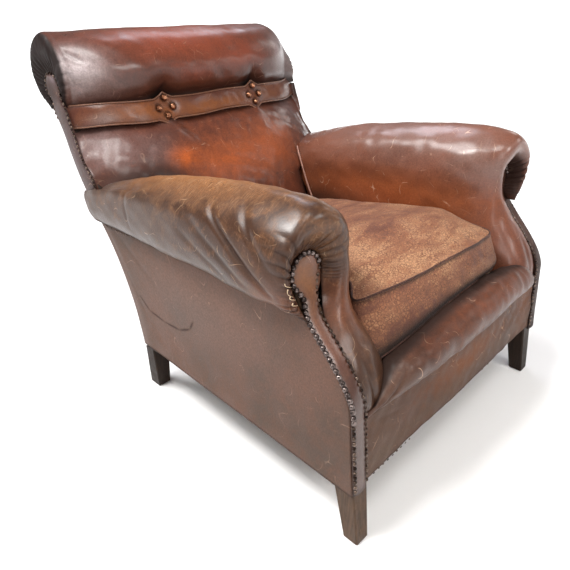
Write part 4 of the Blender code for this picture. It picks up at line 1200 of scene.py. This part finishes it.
def lip(finish):
    """Padded lip over the front rail: an arc of -98 to 182 degrees whose size follows its top.

    Below -90 degrees the hide turns back under, to be tacked behind the border.
    """
    u = np.sin(np.linspace(-0.5, 0.5, 241) * math.pi)[None, :]
    angle = np.radians(np.linspace(-98.0, 182.0, 90))[:, None]
    x = FRONT_HALF * u
    base = 0.2515
    size = np.maximum((lip_top(x) - base) / 1.966, 0.004)
    slump = 0.0022 * np.sin(23.0 * x + 0.6) + 0.0012 * np.sin(61.0 * x)
    centre_y = -0.436 + 0.26 * size - 0.0010
    centre_z = base + 0.966 * size
    y = centre_y - 1.04 * size * np.cos(angle)
    z = centre_z + size * np.sin(angle) + slump * np.cos(angle).clip(0) * 0.6
    grid = points_at(x, y, z)
    out = normals(grid)
    a = np.degrees(angle)
    push = uneven(grid, (0.0016, 0.11, 111), (0.0006, 0.035, 112))
    # painted shade where the lip turns under and where the cushion rests on it
    crease = 0.9 * fade(a, -90, -66) + 0.92 * rise(a, 66, 92)
    push, crease = folded(push, crease, x, a / 1000.0, LIP_FOLDS, 90.0, 1.7)
    grid = grid + out * push[..., None]
    rub = 0.38 * bell(a, 35, 40) * (0.55 + 0.45 * np.sin(9.0 * x + 1.0))
    # painted sheen on the left end and along the front
    bloom = 0.65 * bell(x, -0.27, 0.05) + 0.3 * bell(a, 0, 30) * bell(x, -0.10, 0.10)
    piece = skin("lip", grid, finish, rub=rub, bloom=bloom, crease=crease)
    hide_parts("front_roll")


def border(finish, tack_finish):
    """Hide over the front rail: tucked under the lip above, folded and tacked under below."""
    u = across(-1.0, 1.0, 220)
    z = np.concatenate([np.linspace(0.2555, 0.128, 60),
                        BORDER_LOW + 0.0045 - 0.0045 * np.sin(np.linspace(0.15, 1.5, 7))])[:, None]
    x = FRONT_HALF * u
    fold = fade(z, BORDER_LOW, BORDER_LOW + 0.006)
    grid = points_at(x, face_y(z) + HIDE + 0.0045 * fold**2, z)
    push = 0.0014 * ripple(grid * [0.7, 1, 1.3], 0.12, 121) + 0.0004 * ripple(grid, 0.03, 122)
    # painted shade under the lip, and darker at the folded bottom edge
    crease = 0.9 * rise(z, 0.240, 0.2505) + 0.55 * fade(z, BORDER_LOW, 0.134)
    push, crease = folded(push, crease, x, z, BORDER_FOLDS, 100.0, 1.8)
    grid[..., 1] -= push * fade(z, 0.243, 0.253)
    rub = 0.65 * bell(z, 0.19, 0.035) * bell(x, 0.02, 0.16) + 0.35 * bell(x, 0.28, 0.04)
    # painted sheen low along the front and at the left end
    bloom = 0.4 * bell(z, 0.15, 0.022) + 0.4 * bell(x, -0.28, 0.05)
    piece = skin("border", grid, finish, flip=True, rub=rub, bloom=bloom, crease=crease)
    thicken(piece)
    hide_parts("front_border")
    x = np.linspace(-0.305, 0.305, 200)
    spots = spaced(points_at(x, face_y(0.126) + 0.0014, 0.1268), 0.013, seed=131)
    keep = (spots[:, 0] < -0.20) | (np.random.default_rng(5).random(len(spots)) < 0.10)
    spots = spots[keep]
    tacks = domes("border_tacks", spots, (0.0, -1.0, -0.3), BORDER_TACK, tack_finish, seed=132)


# ---------------------------------------------------------------- back

def pad_front(x, u, z):
    """Front of the lower pad: the pad line, falling away at the ends, tucked under the strap."""
    edge = 0.008 * np.abs(u) ** 6 * fade(z, 0.35, 0.45)
    tuck = 0.013 * rise(z, 0.545, 0.574) - 0.006 * bell(z, 0.505, 0.045)
    return through(PAD_LINE, z) + set_back(x) + edge + tuck


def back_pad(finish):
    """Lower back pad: between the arms, then in front of the uprights."""
    z = down(0.238, 0.600, 150)
    u = np.sin(np.linspace(-0.5, 0.5, 200) * math.pi)[None, :]
    wide = rise(z, 0.400, 0.440)
    half = 0.2115 + 0.1355 * wide
    x = half * u
    y = pad_front(x, u, z)
    bend = 1.0 - np.sqrt(1.0 - np.clip((np.abs(u) - 0.90) / 0.10, 0, 1) ** 2)
    y = y + bend * (0.010 * (1.0 - wide) + wide * (through(NAIL_LINE, z) + 0.001 - y))
    front = points_at(x, y, z)
    push = uneven(front, (0.0020, 0.15, 141), (0.0006, 0.04, 142))
    # painted shadow under the strap, and the fold darkened
    push, crease = folded(push, 0.95 * rise(z, 0.552, 0.572), x, z, PAD_FOLDS, 75.0, 1.8)
    # painted shade in the dimples under the tabs
    for tab in (-STUD_X, STUD_X):
        pull = np.exp(-(np.hypot(x - tab, 1.2 * (z - 0.572)) / 0.030) ** 2)
        push = push - 0.010 * pull
        crease = crease + 0.30 * pull
    front = front - normals(front) * push[..., None]
    back_edge = points_at(x * 0.985, np.maximum(y + 0.020, back_y(z) - 0.046), z)
    grid = narrowed(closed(front, back_edge))
    # painted shade: darker in the corners against the arms, and low in the left corner
    crease = crease + 0.75 * fade(z, 0.40, 0.455) * rise(np.abs(u), 0.72, 0.99)
    crease = crease + 0.85 * bell(x, -0.235, 0.11) * fade(z, 0.466, 0.512)
    # rubbed patches, painted sheen and highlights with some greyed wax, warm patches
    rub, bloom, warm = wear(x, z, *PAD_WEAR)
    piece = weld(skin("back_cushioning", grid, finish, ring=True,
                      **ring_marks(rub=rub, bloom=bloom, crease=crease, warm=warm)))
    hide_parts("back_pad")


def roll_surface():
    """Hide over the back's roll: sections across, and a cubic curve round to each end's head."""
    k = np.linspace(0.0, 10.0, 200)
    middle, end = along(ROLL_MIDDLE, k), along(ROLL_END, k)
    edge = along(ROLL_EDGE, k)
    rows = []
    body_half = {-1: BACK_HALF - 0.014, 1: BACK_HALF - 0.036}
    x = np.linspace(-body_half[-1], body_half[1], 190)
    share = (np.abs(x) / 0.3445)[:, None, None] ** 4
    body = middle[None] * (1.0 - share) + end[None] * share
    sunk = 0.034 * rise(x, 0.270, 0.370)[:, None] * rise(body[..., 1], 0.60, 0.75)
    body[..., 1] -= sunk
    grid = np.concatenate([np.broadcast_to(x[:, None, None], (*body.shape[:2], 1)), body], -1)
    t = np.linspace(0.0, 1.0, 46)[1:, None, None]
    for side, first in ((-1, grid[0]), (1, grid[-1])):
        far = BACK_HALF + 0.0055 * rise(k, 0.6, 2.4)
        plane = BACK_HALF + 0.0012
        control = (far - 0.125 * (body_half[side] + plane)) / 0.75
        last = np.concatenate([np.full((len(k), 1), side * plane), edge], 1)
        lead, come = first.copy(), last.copy()
        come[:, 1:] += 0.72 * (first[:, 1:] - last[:, 1:])
        lead[:, 0] = come[:, 0] = side * control
        rim = cubic(t, first, lead, come, last)
        more = rise(rim[..., 0], 0.270, 0.370) - rise(first[:, 0], 0.270, 0.370)
        rim[..., 2] -= 0.080 * more.clip(0) * rise(rim[..., 2], 0.60, 0.75) * (1 - t[..., 0] ** 3)
        rows.append(rim)
    return np.concatenate([rows[0][::-1], grid, rows[1]], 0), k


def back_roll(finish):
    """Upper roll scrolled backwards, sunk at its right end, gathered round both heads."""
    grid, k = roll_surface()
    k = np.broadcast_to(k, grid.shape[:2])
    x, z = grid[..., 0], grid[..., 2]
    run, from_left = run_along(along(ROLL_EDGE, k[0])), run_along(grid)
    gap = np.minimum(from_left, from_left[-1:] - from_left)
    ridge, strength = gathers(run, gap, 0.0080, 0.055, 17)
    strength = strength * rise(k, 1.2, 2.2) * fade(k, 9.2, 9.9)
    push = 0.0026 * (ridge - 0.7) * strength
    # pleat valleys, and the left end near black: grime with painted shade
    crease = strength * (1.0 - ridge) ** 2 + 1.05 * rise(-x, 0.336, 0.3455) * (0.84 + 0.16 * ridge)
    push = push + uneven(grid, (0.0009, 0.20, 151), (0.0005, 0.05, 152))
    push, crease = folded(push, crease, x, z, ROLL_FOLDS, 75.0, 1.7, k < 4.5)
    # painted shade in the dimples above the tabs
    for tab in (-STUD_X, STUD_X):
        pull = np.exp(-(np.hypot(x - tab, 0.75 * (z - 0.618)) / 0.030) ** 2) * (k < 4)
        push = push - 0.009 * pull
        crease = crease + 0.50 * pull
    # painted shade low at the front behind the strap, and under the back of the roll
    crease = crease + 0.8 * fade(k, 0.6, 1.6) + 0.6 * rise(k, 9.2, 9.8)
    front = fade(k, 5.6, 6.8)
    # rubbed patches, painted highlights at both ends and painted sheen, warm patches
    rub, bloom, warm = (front * mark for mark in wear(x, k, *ROLL_WEAR))
    grid = grid - normals(grid) * push[..., None]
    piece = skin("back_scroll", narrowed(grid), finish, flip=True, rub=rub, bloom=bloom,
                 warm=warm, crease=crease)
    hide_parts("back_roll")


def strap(finish, cord_finish):
    """Hide strap across the back with a welt on each edge and two pointed tabs."""
    x = across(-0.3445, 0.3445, 440)
    v = down(0.0, 1.0, 26)
    # pointed tabs: (1 - |x - middle| / 26 mm)^1.5
    tab = np.clip(1.0 - np.abs(np.abs(x) - STUD_X) / 0.026, 0.0, 1.0) ** 1.5
    wave = 0.0016 * np.sin(17.0 * x + 0.4) + 0.0009 * np.sin(41.0 * x)
    start = BAND_LOW - 0.0015 - 0.0115 * tab + wave
    end = BAND_HIGH + 0.0010 + 0.0125 * tab + 0.7 * wave
    z = start + (end - start) * v
    pull = np.exp(-((np.abs(x) - STUD_X) / 0.045) ** 2)
    y = through(BAND_LINE, z) + set_back(x) - 0.0045 * np.sin(math.pi * v) ** 0.7 * (1 - 0.4 * pull)
    y = y + 0.0032 * pull
    grid = points_at(x, y, z)
    grid[..., 1] -= 0.0010 * ripple(grid, 0.06, 161) * np.sin(math.pi * v)
    grid = narrowed(grid)
    # painted shade along both edges under the welts and in a ring at the foot of each stud
    crease = 0.55 * bell(v, 0.0, 0.07) + 0.35 * bell(v, 1.0, 0.05)
    for dx, dz in STUD_PLACES:
        for side in (-1, 1):
            near = np.hypot(x - side * STUD_X - dx, z - STUD_Z - dz)
            crease = crease + 0.75 * np.exp(-((near - 0.0078) / 0.0026) ** 2)
    # rubbed patches, and painted sheen on the left end
    rub, bloom = wear(x, v, *STRAP_WEAR)
    piece = skin("strap", grid, finish, rub=rub, bloom=bloom, crease=crease)
    thicken(piece)
    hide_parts("back_band")
    for name, row, drop in (("strap_welt_top", -1, 0.0006), ("strap_welt_low", 0, -0.0004)):
        path = grid[row] + [0.0, -0.0006, drop]
        cord_mesh(name, path, 0.0019, cord_finish)


def studs(finish, radius):
    """Domed studs, four to each tab, standing square to the strap."""
    spots = []
    for side in (-1, 1):
        for dx, dz in STUD_PLACES:
            sx, sz = side * STUD_X + dx, STUD_Z + dz
            spots.append((sx, float(through(BAND_LINE, sz) + set_back(sx)) - 0.0032, sz))
    piece = domes("strap_studs", spots, (0.0, -0.93, 0.36), (radius, 0.70 * radius, 18), finish,
                  seed=171, steps=8)
    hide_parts(*[f"back_stud_{number}" for number in range(1, 9)])


def scroll_head(side):
    """How far back the side strip is set, its head's middle, and its head's radius."""
    back_set = 0.016 * (side > 0)
    return back_set, 0.3730 + back_set, 0.0300 - 0.25 * back_set


def back_side_strip(side, finish):
    """Padded strip up the side of the back, with a round head in the end of the scroll."""
    back_set, head_y, radius = scroll_head(side)
    angle = np.linspace(-0.95, 0.5 * math.pi, 34)
    z = np.concatenate([np.linspace(0.440, SCROLL_Z + radius * math.sin(-0.95) - 0.003, 60),
                        SCROLL_Z + radius * np.sin(angle)])[:, None]
    front = through(NAIL_LINE, z) + back_set
    rear = np.minimum(through(REAR_LINE, z), 0.392)
    drop = np.clip((z - SCROLL_Z) / radius, -1.0, 1.0)
    round_half = np.maximum(radius * np.sqrt(1.0 - drop**2), 0.0004)
    mix = rise(z, 0.612, 0.640)
    front = front * (1.0 - mix) + (head_y - round_half) * mix
    rear = rear * (1.0 - mix) + (head_y + round_half) * mix
    turn = across(0.0, math.pi, 21)
    y = 0.5 * (front + rear) - 0.5 * (rear - front) * np.cos(turn)
    swell = 0.0042 * np.sin(turn) ** 0.8 * np.minimum((rear - front) / 0.04, 1.0)
    grid = closed(points_at(SIDE_X + swell, y, z), points_at(SIDE_X - 0.0020, y, z))
    grid[..., 0] *= side
    grid = narrowed(grid)
    # painted highlight on the top of the head and a little sheen lower down; painted shade at the
    # turned edges and under the head
    bloom = 0.9 * bell(z, 0.668, 0.008) * bell(y, 0.362, 0.012) + 0.20 * bell(z, 0.52, 0.06)
    crease = 0.5 * np.abs(np.cos(turn)) ** 8 + 0.55 * bell(z, 0.640, 0.022) * rise(y, 0.345, 0.375)
    piece = weld(skin(side_name("back_side_strip", side), grid, finish, ring=True, flip=side < 0,
                      **ring_marks(bloom=bloom, crease=crease)))
    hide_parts(side_name("back_facing", side))


def back_side_nails(side, finish):
    """Nails up both edges of the back's side strip and round its head."""
    back_set, head_y, radius = scroll_head(side)
    radius -= 0.0008
    z = np.linspace(0.452, 0.612, 120)
    path = np.stack([through(NAIL_LINE, z) + 0.0005 + back_set, z], 1)
    angle = np.radians(np.linspace(195.0, -20.0, 120))
    head = np.stack([head_y + radius * np.cos(angle), SCROLL_Z + radius * np.sin(angle)], 1)
    z = np.linspace(0.630, 0.585, 80)
    rear = np.stack([through(REAR_LINE, z) - 0.004, z], 1)
    route = np.concatenate([path, head, rear])
    route = points_at(side * (SIDE_X + 0.0020), *route.T)
    spots = narrowed(spaced(route, 0.0096, seed=180 + side))
    piece = domes(side_name("back_side_nails", side), spots, (side, -0.25, 0.0), SIDE_NAIL,
                  finish, seed=184 + side)


def outside_back(finish, tack_finish):
    """Hide down the outside of the back, tacked up both sides and along the bottom."""
    z = down(0.130, 0.602, 110)
    u = across(-1.0, 1.0, 150)
    x = (0.3455 - 0.001 * rise(z, 0.3, 0.6)) * u
    turned = ((np.abs(u) - 0.97) / 0.03).clip(0.0)
    grid = points_at(x, through(REAR_LINE, z) - 0.007 * turned**2, z)
    grid[..., 1] += 0.0018 * ripple(grid, 0.22, 191) * (1.0 - np.abs(u) ** 8)
    grid = narrowed(grid)
    # painted shade under the roll, and darker along the foot and the tacked sides
    crease = 0.8 * rise(z, 0.585, 0.600) + 0.6 * fade(z, 0.130, 0.137)
    crease = crease + 0.35 * bell(np.abs(u), 0.955, 0.012)
    # painted sheen across the middle
    bloom = 0.45 * bell(z, 0.42, 0.10) * bell(x, 0.05, 0.20)
    rub = 0.35 * bell(z, 0.20, 0.05) + 0.25 * bell(np.abs(u), 1.0, 0.03)
    piece = skin("outside_back_hide", grid, finish, flip=True, rub=rub, bloom=bloom,
                 crease=crease)
    thicken(piece)
    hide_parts("outside_back")
    z = np.linspace(0.140, 0.590, 200)
    rows = [spaced(points_at(side * 0.3300, through(REAR_LINE, z) + 0.001, z), 0.012,
                   seed=193 + side) for side in (-1, 1)]
    x = np.linspace(-0.322, 0.322, 200)
    foot = points_at(x, through(REAR_LINE, 0.138) + 0.001, 0.138)
    spots = narrowed(np.concatenate([*rows, spaced(foot, 0.014, seed=196)]))
    facing = points_at(0.0, 1.0, -slope_of(back_y, spots[:, 2]))
    nails = domes("outside_back_nails", spots, facing, BACK_NAIL, tack_finish, seed=197)


def side_piping(side, finish):
    """Thin pale piping down the join of the inside back and the arm, on up over the arm's end."""
    z = np.linspace(0.300, 0.462, 90)
    x = 0.2125 + 0.0035 * rise(z, 0.440, 0.462)
    y = pad_front(0.2095, 0.97, z) - 0.0045 - 0.0006 * np.sin(60.0 * z)
    piece = cord_mesh(side_name("side_piping", side), points_at(side * x, y, z), 0.0022, finish)
    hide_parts(side_name("back_piping", side))


def dust_cover(finish):
    """Thin black cloth stretched under the rails, tacked at its edges, sagging 3 mm between."""
    a, b = low("dust_cover"), high("dust_cover")
    u = across(-1.0, 1.0, 90)
    v = down(-1.0, 1.0, 80)
    x = b[0] * u
    y = 0.5 * (a[1] + b[1]) + 0.5 * (b[1] - a[1]) * v
    sag = 0.0030 * (1.0 - u**4) * (1.0 - v**4)
    z = 0.5 * (a[2] + b[2]) - sag + 0.0005 * ripple(points_at(x, y, 0.0), 0.06, 201)
    piece = skin("dust_cloth", points_at(x, y, z), finish, flip=True)
    thicken(piece, 0.0008, 0.0)
    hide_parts("dust_cover")


# ---------------------------------------------------------------- studio

def studio(settings):
    """Pale floor, soft lamps and the camera."""
    scene = bpy.context.scene
    world = bpy.data.worlds.new("Studio air")
    world.use_nodes = True
    air = world.node_tree.nodes["Background"]
    air.inputs["Color"].default_value = linear("#f4f4f6")
    air.inputs["Strength"].default_value = settings.room_light
    scene.world = world
    scene.view_settings.view_transform = "Standard"
    material, tree, shader = new_material("Seamless paper", Roughness=0.95)
    place = object_place(tree)
    # paper fibre, far too fine to see: only the faintest unevenness
    fibre = noise(tree, place, 3.0)
    tone = blend(tree, fibre, "#f7f7f7", "#fbfbfb")
    # the far paper is lit from behind, so that it stays as white as the near paper
    away = add_node(tree, "ShaderNodeVectorMath", {0: place}, operation="LENGTH")
    back_lit = spread(tree, away.outputs["Value"], 0.8, 6.0, 0.0, 0.80)
    wire(tree, shader, Base_Color=tone, Emission_Color=tone, Emission_Strength=back_lit)
    data = bpy.data.meshes.new("floor")
    rim = FLOOR_HALF * np.array([(-1.0, -1.0, 0.0), (1.0, -1.0, 0.0), (1.0, 1.0, 0.0),
                                 (-1.0, 1.0, 0.0)])
    wall = rim + [0.0, 0.0, WALL_HEIGHT]
    data.from_pydata(np.concatenate([rim, wall]).tolist(), [], [(0, 1, 2, 3), (0, 4, 5, 1),
                     (1, 5, 6, 2), (2, 6, 7, 3), (3, 7, 4, 0)])
    data.materials.append(material)
    floor = bpy.data.objects.new("floor", data)
    scene.collection.objects.link(floor)
    for name, spot, aim, wide, tall, power, shade in LAMPS:
        lamp = bpy.data.lights.new(name, "AREA")
        lamp.shape, lamp.size, lamp.size_y = "RECTANGLE", wide, tall
        lamp.energy, lamp.color = power * settings.lamp_power, linear(shade)[:3]
        holder = bpy.data.objects.new(name, lamp)
        holder.location = spot
        way = Vector(aim) - Vector(spot)
        holder.rotation_euler = way.to_track_quat("-Z", "Y").to_euler()
        scene.collection.objects.link(holder)
    sky = bpy.data.lights.new("Skylight", "SUN")
    sky.energy, sky.angle = settings.sky_power, math.radians(28.0)
    holder = bpy.data.objects.new("Skylight", sky)
    holder.rotation_euler = Vector(SUN_FROM).to_track_quat("Z", "Y").to_euler()
    scene.collection.objects.link(holder)
    eye = bpy.data.cameras.new("Camera")
    eye.lens, eye.sensor_width = settings.lens, 36.0
    eye.dof.use_dof = False
    camera = bpy.data.objects.new("Camera", eye)
    camera.location = CAMERA_PLACE
    camera.rotation_euler = [math.radians(a) for a in CAMERA_TURN]
    scene.collection.objects.link(camera)
    scene.camera = camera


# ---------------------------------------------------------------- add-on

class ClubChairLeather(bpy.types.PropertyGroup):
    """How worn the hide is."""
    crackle: bpy.props.FloatProperty(
        name="Crackle", description="How far the rubbed finish has cracked", default=0.75,
        min=0.0, max=1.0, subtype="FACTOR")
    scratches: bpy.props.FloatProperty(
        name="Scratches", description="How pale and many the fine scratches are", default=0.55,
        min=0.0, max=1.0, subtype="FACTOR")
    shine: bpy.props.FloatProperty(
        name="Wax", description="Strength of the waxed shine", default=0.80, min=0.0, max=1.0,
        subtype="FACTOR")
    arm_colour: bpy.props.FloatVectorProperty(
        name="Near arm", description="Hide of the dull, cracked arm", subtype="COLOR",
        default=linear("#40291c")[:3], min=0.0, max=1.0)
    back_colour: bpy.props.FloatVectorProperty(
        name="Back pad", description="Hide of the lower back pad", subtype="COLOR",
        default=linear("#572e20")[:3], min=0.0, max=1.0)
    suede_colour: bpy.props.FloatVectorProperty(
        name="Cushion", description="Rubbed high places of the cushion", subtype="COLOR",
        default=linear("#9e7656")[:3], min=0.0, max=1.0)
    nail_colour: bpy.props.FloatVectorProperty(
        name="Nails", description="Bright metal of the facing nails", subtype="COLOR",
        default=linear("#786c68")[:3], min=0.0, max=1.0)


class ClubChairSeat(bpy.types.PropertyGroup):
    """How full the loose cushion is."""
    crown: bpy.props.FloatProperty(
        name="Crown", description="Rise of the top above its seam", default=0.012,
        unit="LENGTH", subtype="DISTANCE")
    puff: bpy.props.FloatProperty(
        name="Puff", description="How far the boxing bulges", default=0.007, unit="LENGTH",
        subtype="DISTANCE")
    pressure: bpy.props.FloatProperty(
        name="Pressure", description="Air pressure used to swell the cushion", default=4.0)


class ClubChairNails(bpy.types.PropertyGroup):
    """Sizes of the nails and studs."""
    pitch: bpy.props.FloatProperty(
        name="Nail pitch", description="Distance between nails on the facings", default=0.0095,
        unit="LENGTH", subtype="DISTANCE")
    stud_radius: bpy.props.FloatProperty(
        name="Stud radius", description="Radius of the studs on the strap", default=0.0072,
        unit="LENGTH", subtype="DISTANCE")


class ClubChairStudio(bpy.types.PropertyGroup):
    """Lamps and lens."""
    lamp_power: bpy.props.FloatProperty(
        name="Lamp power", description="Factor on every lamp", default=1.0, min=0.0)
    sky_power: bpy.props.FloatProperty(
        name="Skylight", description="Strength of the broad light from above", default=2.4,
        min=0.0)
    room_light: bpy.props.FloatProperty(
        name="Room light", description="Strength of the light from all round", default=0.20,
        min=0.0)
    lens: bpy.props.FloatProperty(
        name="Lens", description="Focal length in millimetres", default=33.57)


class CLUBCHAIR_OT_finishes(bpy.types.Operator):
    """Makes the hides, suede, metals, wood and cloths, and puts them on the frame's own nodes"""
    bl_idname = "clubchair.finishes"
    bl_label = "Finishes"

    def execute(self, context):
        make_finishes(context.scene.clubchair_leather)
        for name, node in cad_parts.items():
            for start, finish in NODE_FINISHES:
                if name.startswith(start):
                    node.data.materials.clear()
                    node.data.materials.append(bpy.data.materials[finish])
                    break
        return {"FINISHED"}


class CLUBCHAIR_OT_arm_covers(bpy.types.Operator):
    """Makes the hide over both arms, and its torn edge"""
    bl_idname = "clubchair.arm_covers"
    bl_label = "Arm Covers"

    def execute(self, context):
        for side in (-1, 1):
            arm_cover(side, "Crackled arm hide" if side < 0 else "Smooth arm hide")
        frayed_hide(-1, "Raw hide edge")
        return {"FINISHED"}


class CLUBCHAIR_OT_facings(bpy.types.Operator):
    """Makes the padded strips up the front of both arms"""
    bl_idname = "clubchair.facings"
    bl_label = "Facings"

    def execute(self, context):
        for side in (-1, 1):
            facing_strip(side, "Facing hide")
        return {"FINISHED"}


class CLUBCHAIR_OT_outside_panels(bpy.types.Operator):
    """Makes the hides stretched over the outside of the arms"""
    bl_idname = "clubchair.outside_panels"
    bl_label = "Outside Panels"

    def execute(self, context):
        for side in (-1, 1):
            outside_panel(side, "Dull panel hide")
        return {"FINISHED"}


class CLUBCHAIR_OT_arm_nails(bpy.types.Operator):
    """Makes the nails and tacks of both arms"""
    bl_idname = "clubchair.arm_nails"
    bl_label = "Arm Nails"

    def execute(self, context):
        for side in (-1, 1):
            facing_nails(side, "Bronzed nails", "Blackened nails",
                         context.scene.clubchair_nails.pitch)
            under_roll_tacks(side, "Blackened nails")
        return {"FINISHED"}


class CLUBCHAIR_OT_platform(bpy.types.Operator):
    """Makes the stuffed platform under the cushion"""
    bl_idname = "clubchair.platform"
    bl_label = "Platform"

    def execute(self, context):
        platform("Linen ticking")
        return {"FINISHED"}


class CLUBCHAIR_OT_cushion(bpy.types.Operator):
    """Makes the loose cushion and its welts"""
    bl_idname = "clubchair.cushion"
    bl_label = "Cushion"

    def execute(self, context):
        seat = context.scene.clubchair_seat
        cushion("Rubbed suede", "Suede welt", seat.crown, seat.puff, seat.pressure)
        return {"FINISHED"}


class CLUBCHAIR_OT_front(bpy.types.Operator):
    """Makes the padded lip and the border under it"""
    bl_idname = "clubchair.front"
    bl_label = "Lip and Border"

    def execute(self, context):
        lip("Lip hide")
        border("Border hide", "Blackened nails")
        return {"FINISHED"}


class CLUBCHAIR_OT_dust_cover(bpy.types.Operator):
    """Makes the cloth under the seat"""
    bl_idname = "clubchair.dust_cover"
    bl_label = "Dust Cover"

    def execute(self, context):
        dust_cover("Black cambric")
        return {"FINISHED"}


class CLUBCHAIR_OT_back_pad(bpy.types.Operator):
    """Makes the lower pad of the back"""
    bl_idname = "clubchair.back_pad"
    bl_label = "Back Pad"

    def execute(self, context):
        back_pad("Back pad hide")
        return {"FINISHED"}


class CLUBCHAIR_OT_back_roll(bpy.types.Operator):
    """Makes the scrolled roll of the back"""
    bl_idname = "clubchair.back_roll"
    bl_label = "Back Roll"

    def execute(self, context):
        back_roll("Back roll hide")
        return {"FINISHED"}


class CLUBCHAIR_OT_strap(bpy.types.Operator):
    """Makes the strap across the back, with its welts and studs"""
    bl_idname = "clubchair.strap"
    bl_label = "Strap"

    def execute(self, context):
        strap("Strap hide", "Strap welt")
        studs("Coppery studs", context.scene.clubchair_nails.stud_radius)
        return {"FINISHED"}


class CLUBCHAIR_OT_outside_back(bpy.types.Operator):
    """Makes the hide over the outside of the back"""
    bl_idname = "clubchair.outside_back"
    bl_label = "Outside Back"

    def execute(self, context):
        outside_back("Dull panel hide", "Blackened nails")
        return {"FINISHED"}


class CLUBCHAIR_OT_back_sides(bpy.types.Operator):
    """Makes the side strips of the back, their nails and the piping"""
    bl_idname = "clubchair.back_sides"
    bl_label = "Back Sides"

    def execute(self, context):
        for side in (-1, 1):
            back_side_strip(side, "Side strip hide")
            back_side_nails(side, "Blackened nails")
            side_piping(side, "Worn piping")
        return {"FINISHED"}


class CLUBCHAIR_OT_studio(bpy.types.Operator):
    """Makes the floor, the lamps and the camera"""
    bl_idname = "clubchair.studio"
    bl_label = "Studio"

    def execute(self, context):
        studio(context.scene.clubchair_studio)
        return {"FINISHED"}


class CLUBCHAIR_PT_main(bpy.types.Panel):
    """Lists the chair's settings and pieces"""
    bl_label = "Club Chair"
    bl_idname = "CLUBCHAIR_PT_main"
    bl_space_type = "VIEW_3D"
    bl_region_type = "UI"
    bl_category = "Club Chair"

    def draw(self, context):
        for operator in OPERATORS:
            self.layout.operator(operator.bl_idname)
        for field in SETTINGS:
            group = getattr(context.scene, field)
            box = self.layout.box()
            for name in group.__annotations__:
                box.prop(group, name)


SETTINGS = {"clubchair_leather": ClubChairLeather, "clubchair_seat": ClubChairSeat,
            "clubchair_nails": ClubChairNails, "clubchair_studio": ClubChairStudio}
OPERATORS = (CLUBCHAIR_OT_studio, CLUBCHAIR_OT_finishes, CLUBCHAIR_OT_arm_covers,
             CLUBCHAIR_OT_facings, CLUBCHAIR_OT_outside_panels, CLUBCHAIR_OT_arm_nails,
             CLUBCHAIR_OT_platform, CLUBCHAIR_OT_cushion, CLUBCHAIR_OT_front,
             CLUBCHAIR_OT_dust_cover, CLUBCHAIR_OT_back_pad, CLUBCHAIR_OT_back_roll,
             CLUBCHAIR_OT_strap, CLUBCHAIR_OT_outside_back, CLUBCHAIR_OT_back_sides)


def register():
    """Registers the settings, operators and panel."""
    for group in (*SETTINGS.values(), *OPERATORS, CLUBCHAIR_PT_main):
        bpy.utils.register_class(group)
    for field, group in SETTINGS.items():
        setattr(bpy.types.Scene, field, bpy.props.PointerProperty(type=group))


def unregister():
    """Takes them away again."""
    for field in SETTINGS:
        delattr(bpy.types.Scene, field)
    for group in (CLUBCHAIR_PT_main, *reversed(OPERATORS), *SETTINGS.values()):
        bpy.utils.unregister_class(group)


def main():
    """Makes every piece in order."""
    register()
    bpy.ops.clubchair.studio()
    bpy.ops.clubchair.finishes()
    bpy.ops.clubchair.arm_covers()
    bpy.ops.clubchair.facings()
    bpy.ops.clubchair.outside_panels()
    bpy.ops.clubchair.arm_nails()
    bpy.ops.clubchair.platform()
    bpy.ops.clubchair.cushion()
    bpy.ops.clubchair.front()
    bpy.ops.clubchair.dust_cover()
    bpy.ops.clubchair.back_pad()
    bpy.ops.clubchair.back_roll()
    bpy.ops.clubchair.strap()
    bpy.ops.clubchair.outside_back()
    bpy.ops.clubchair.back_sides()
    bpy.context.view_layer.update()


if __name__ == "__main__":
    main()
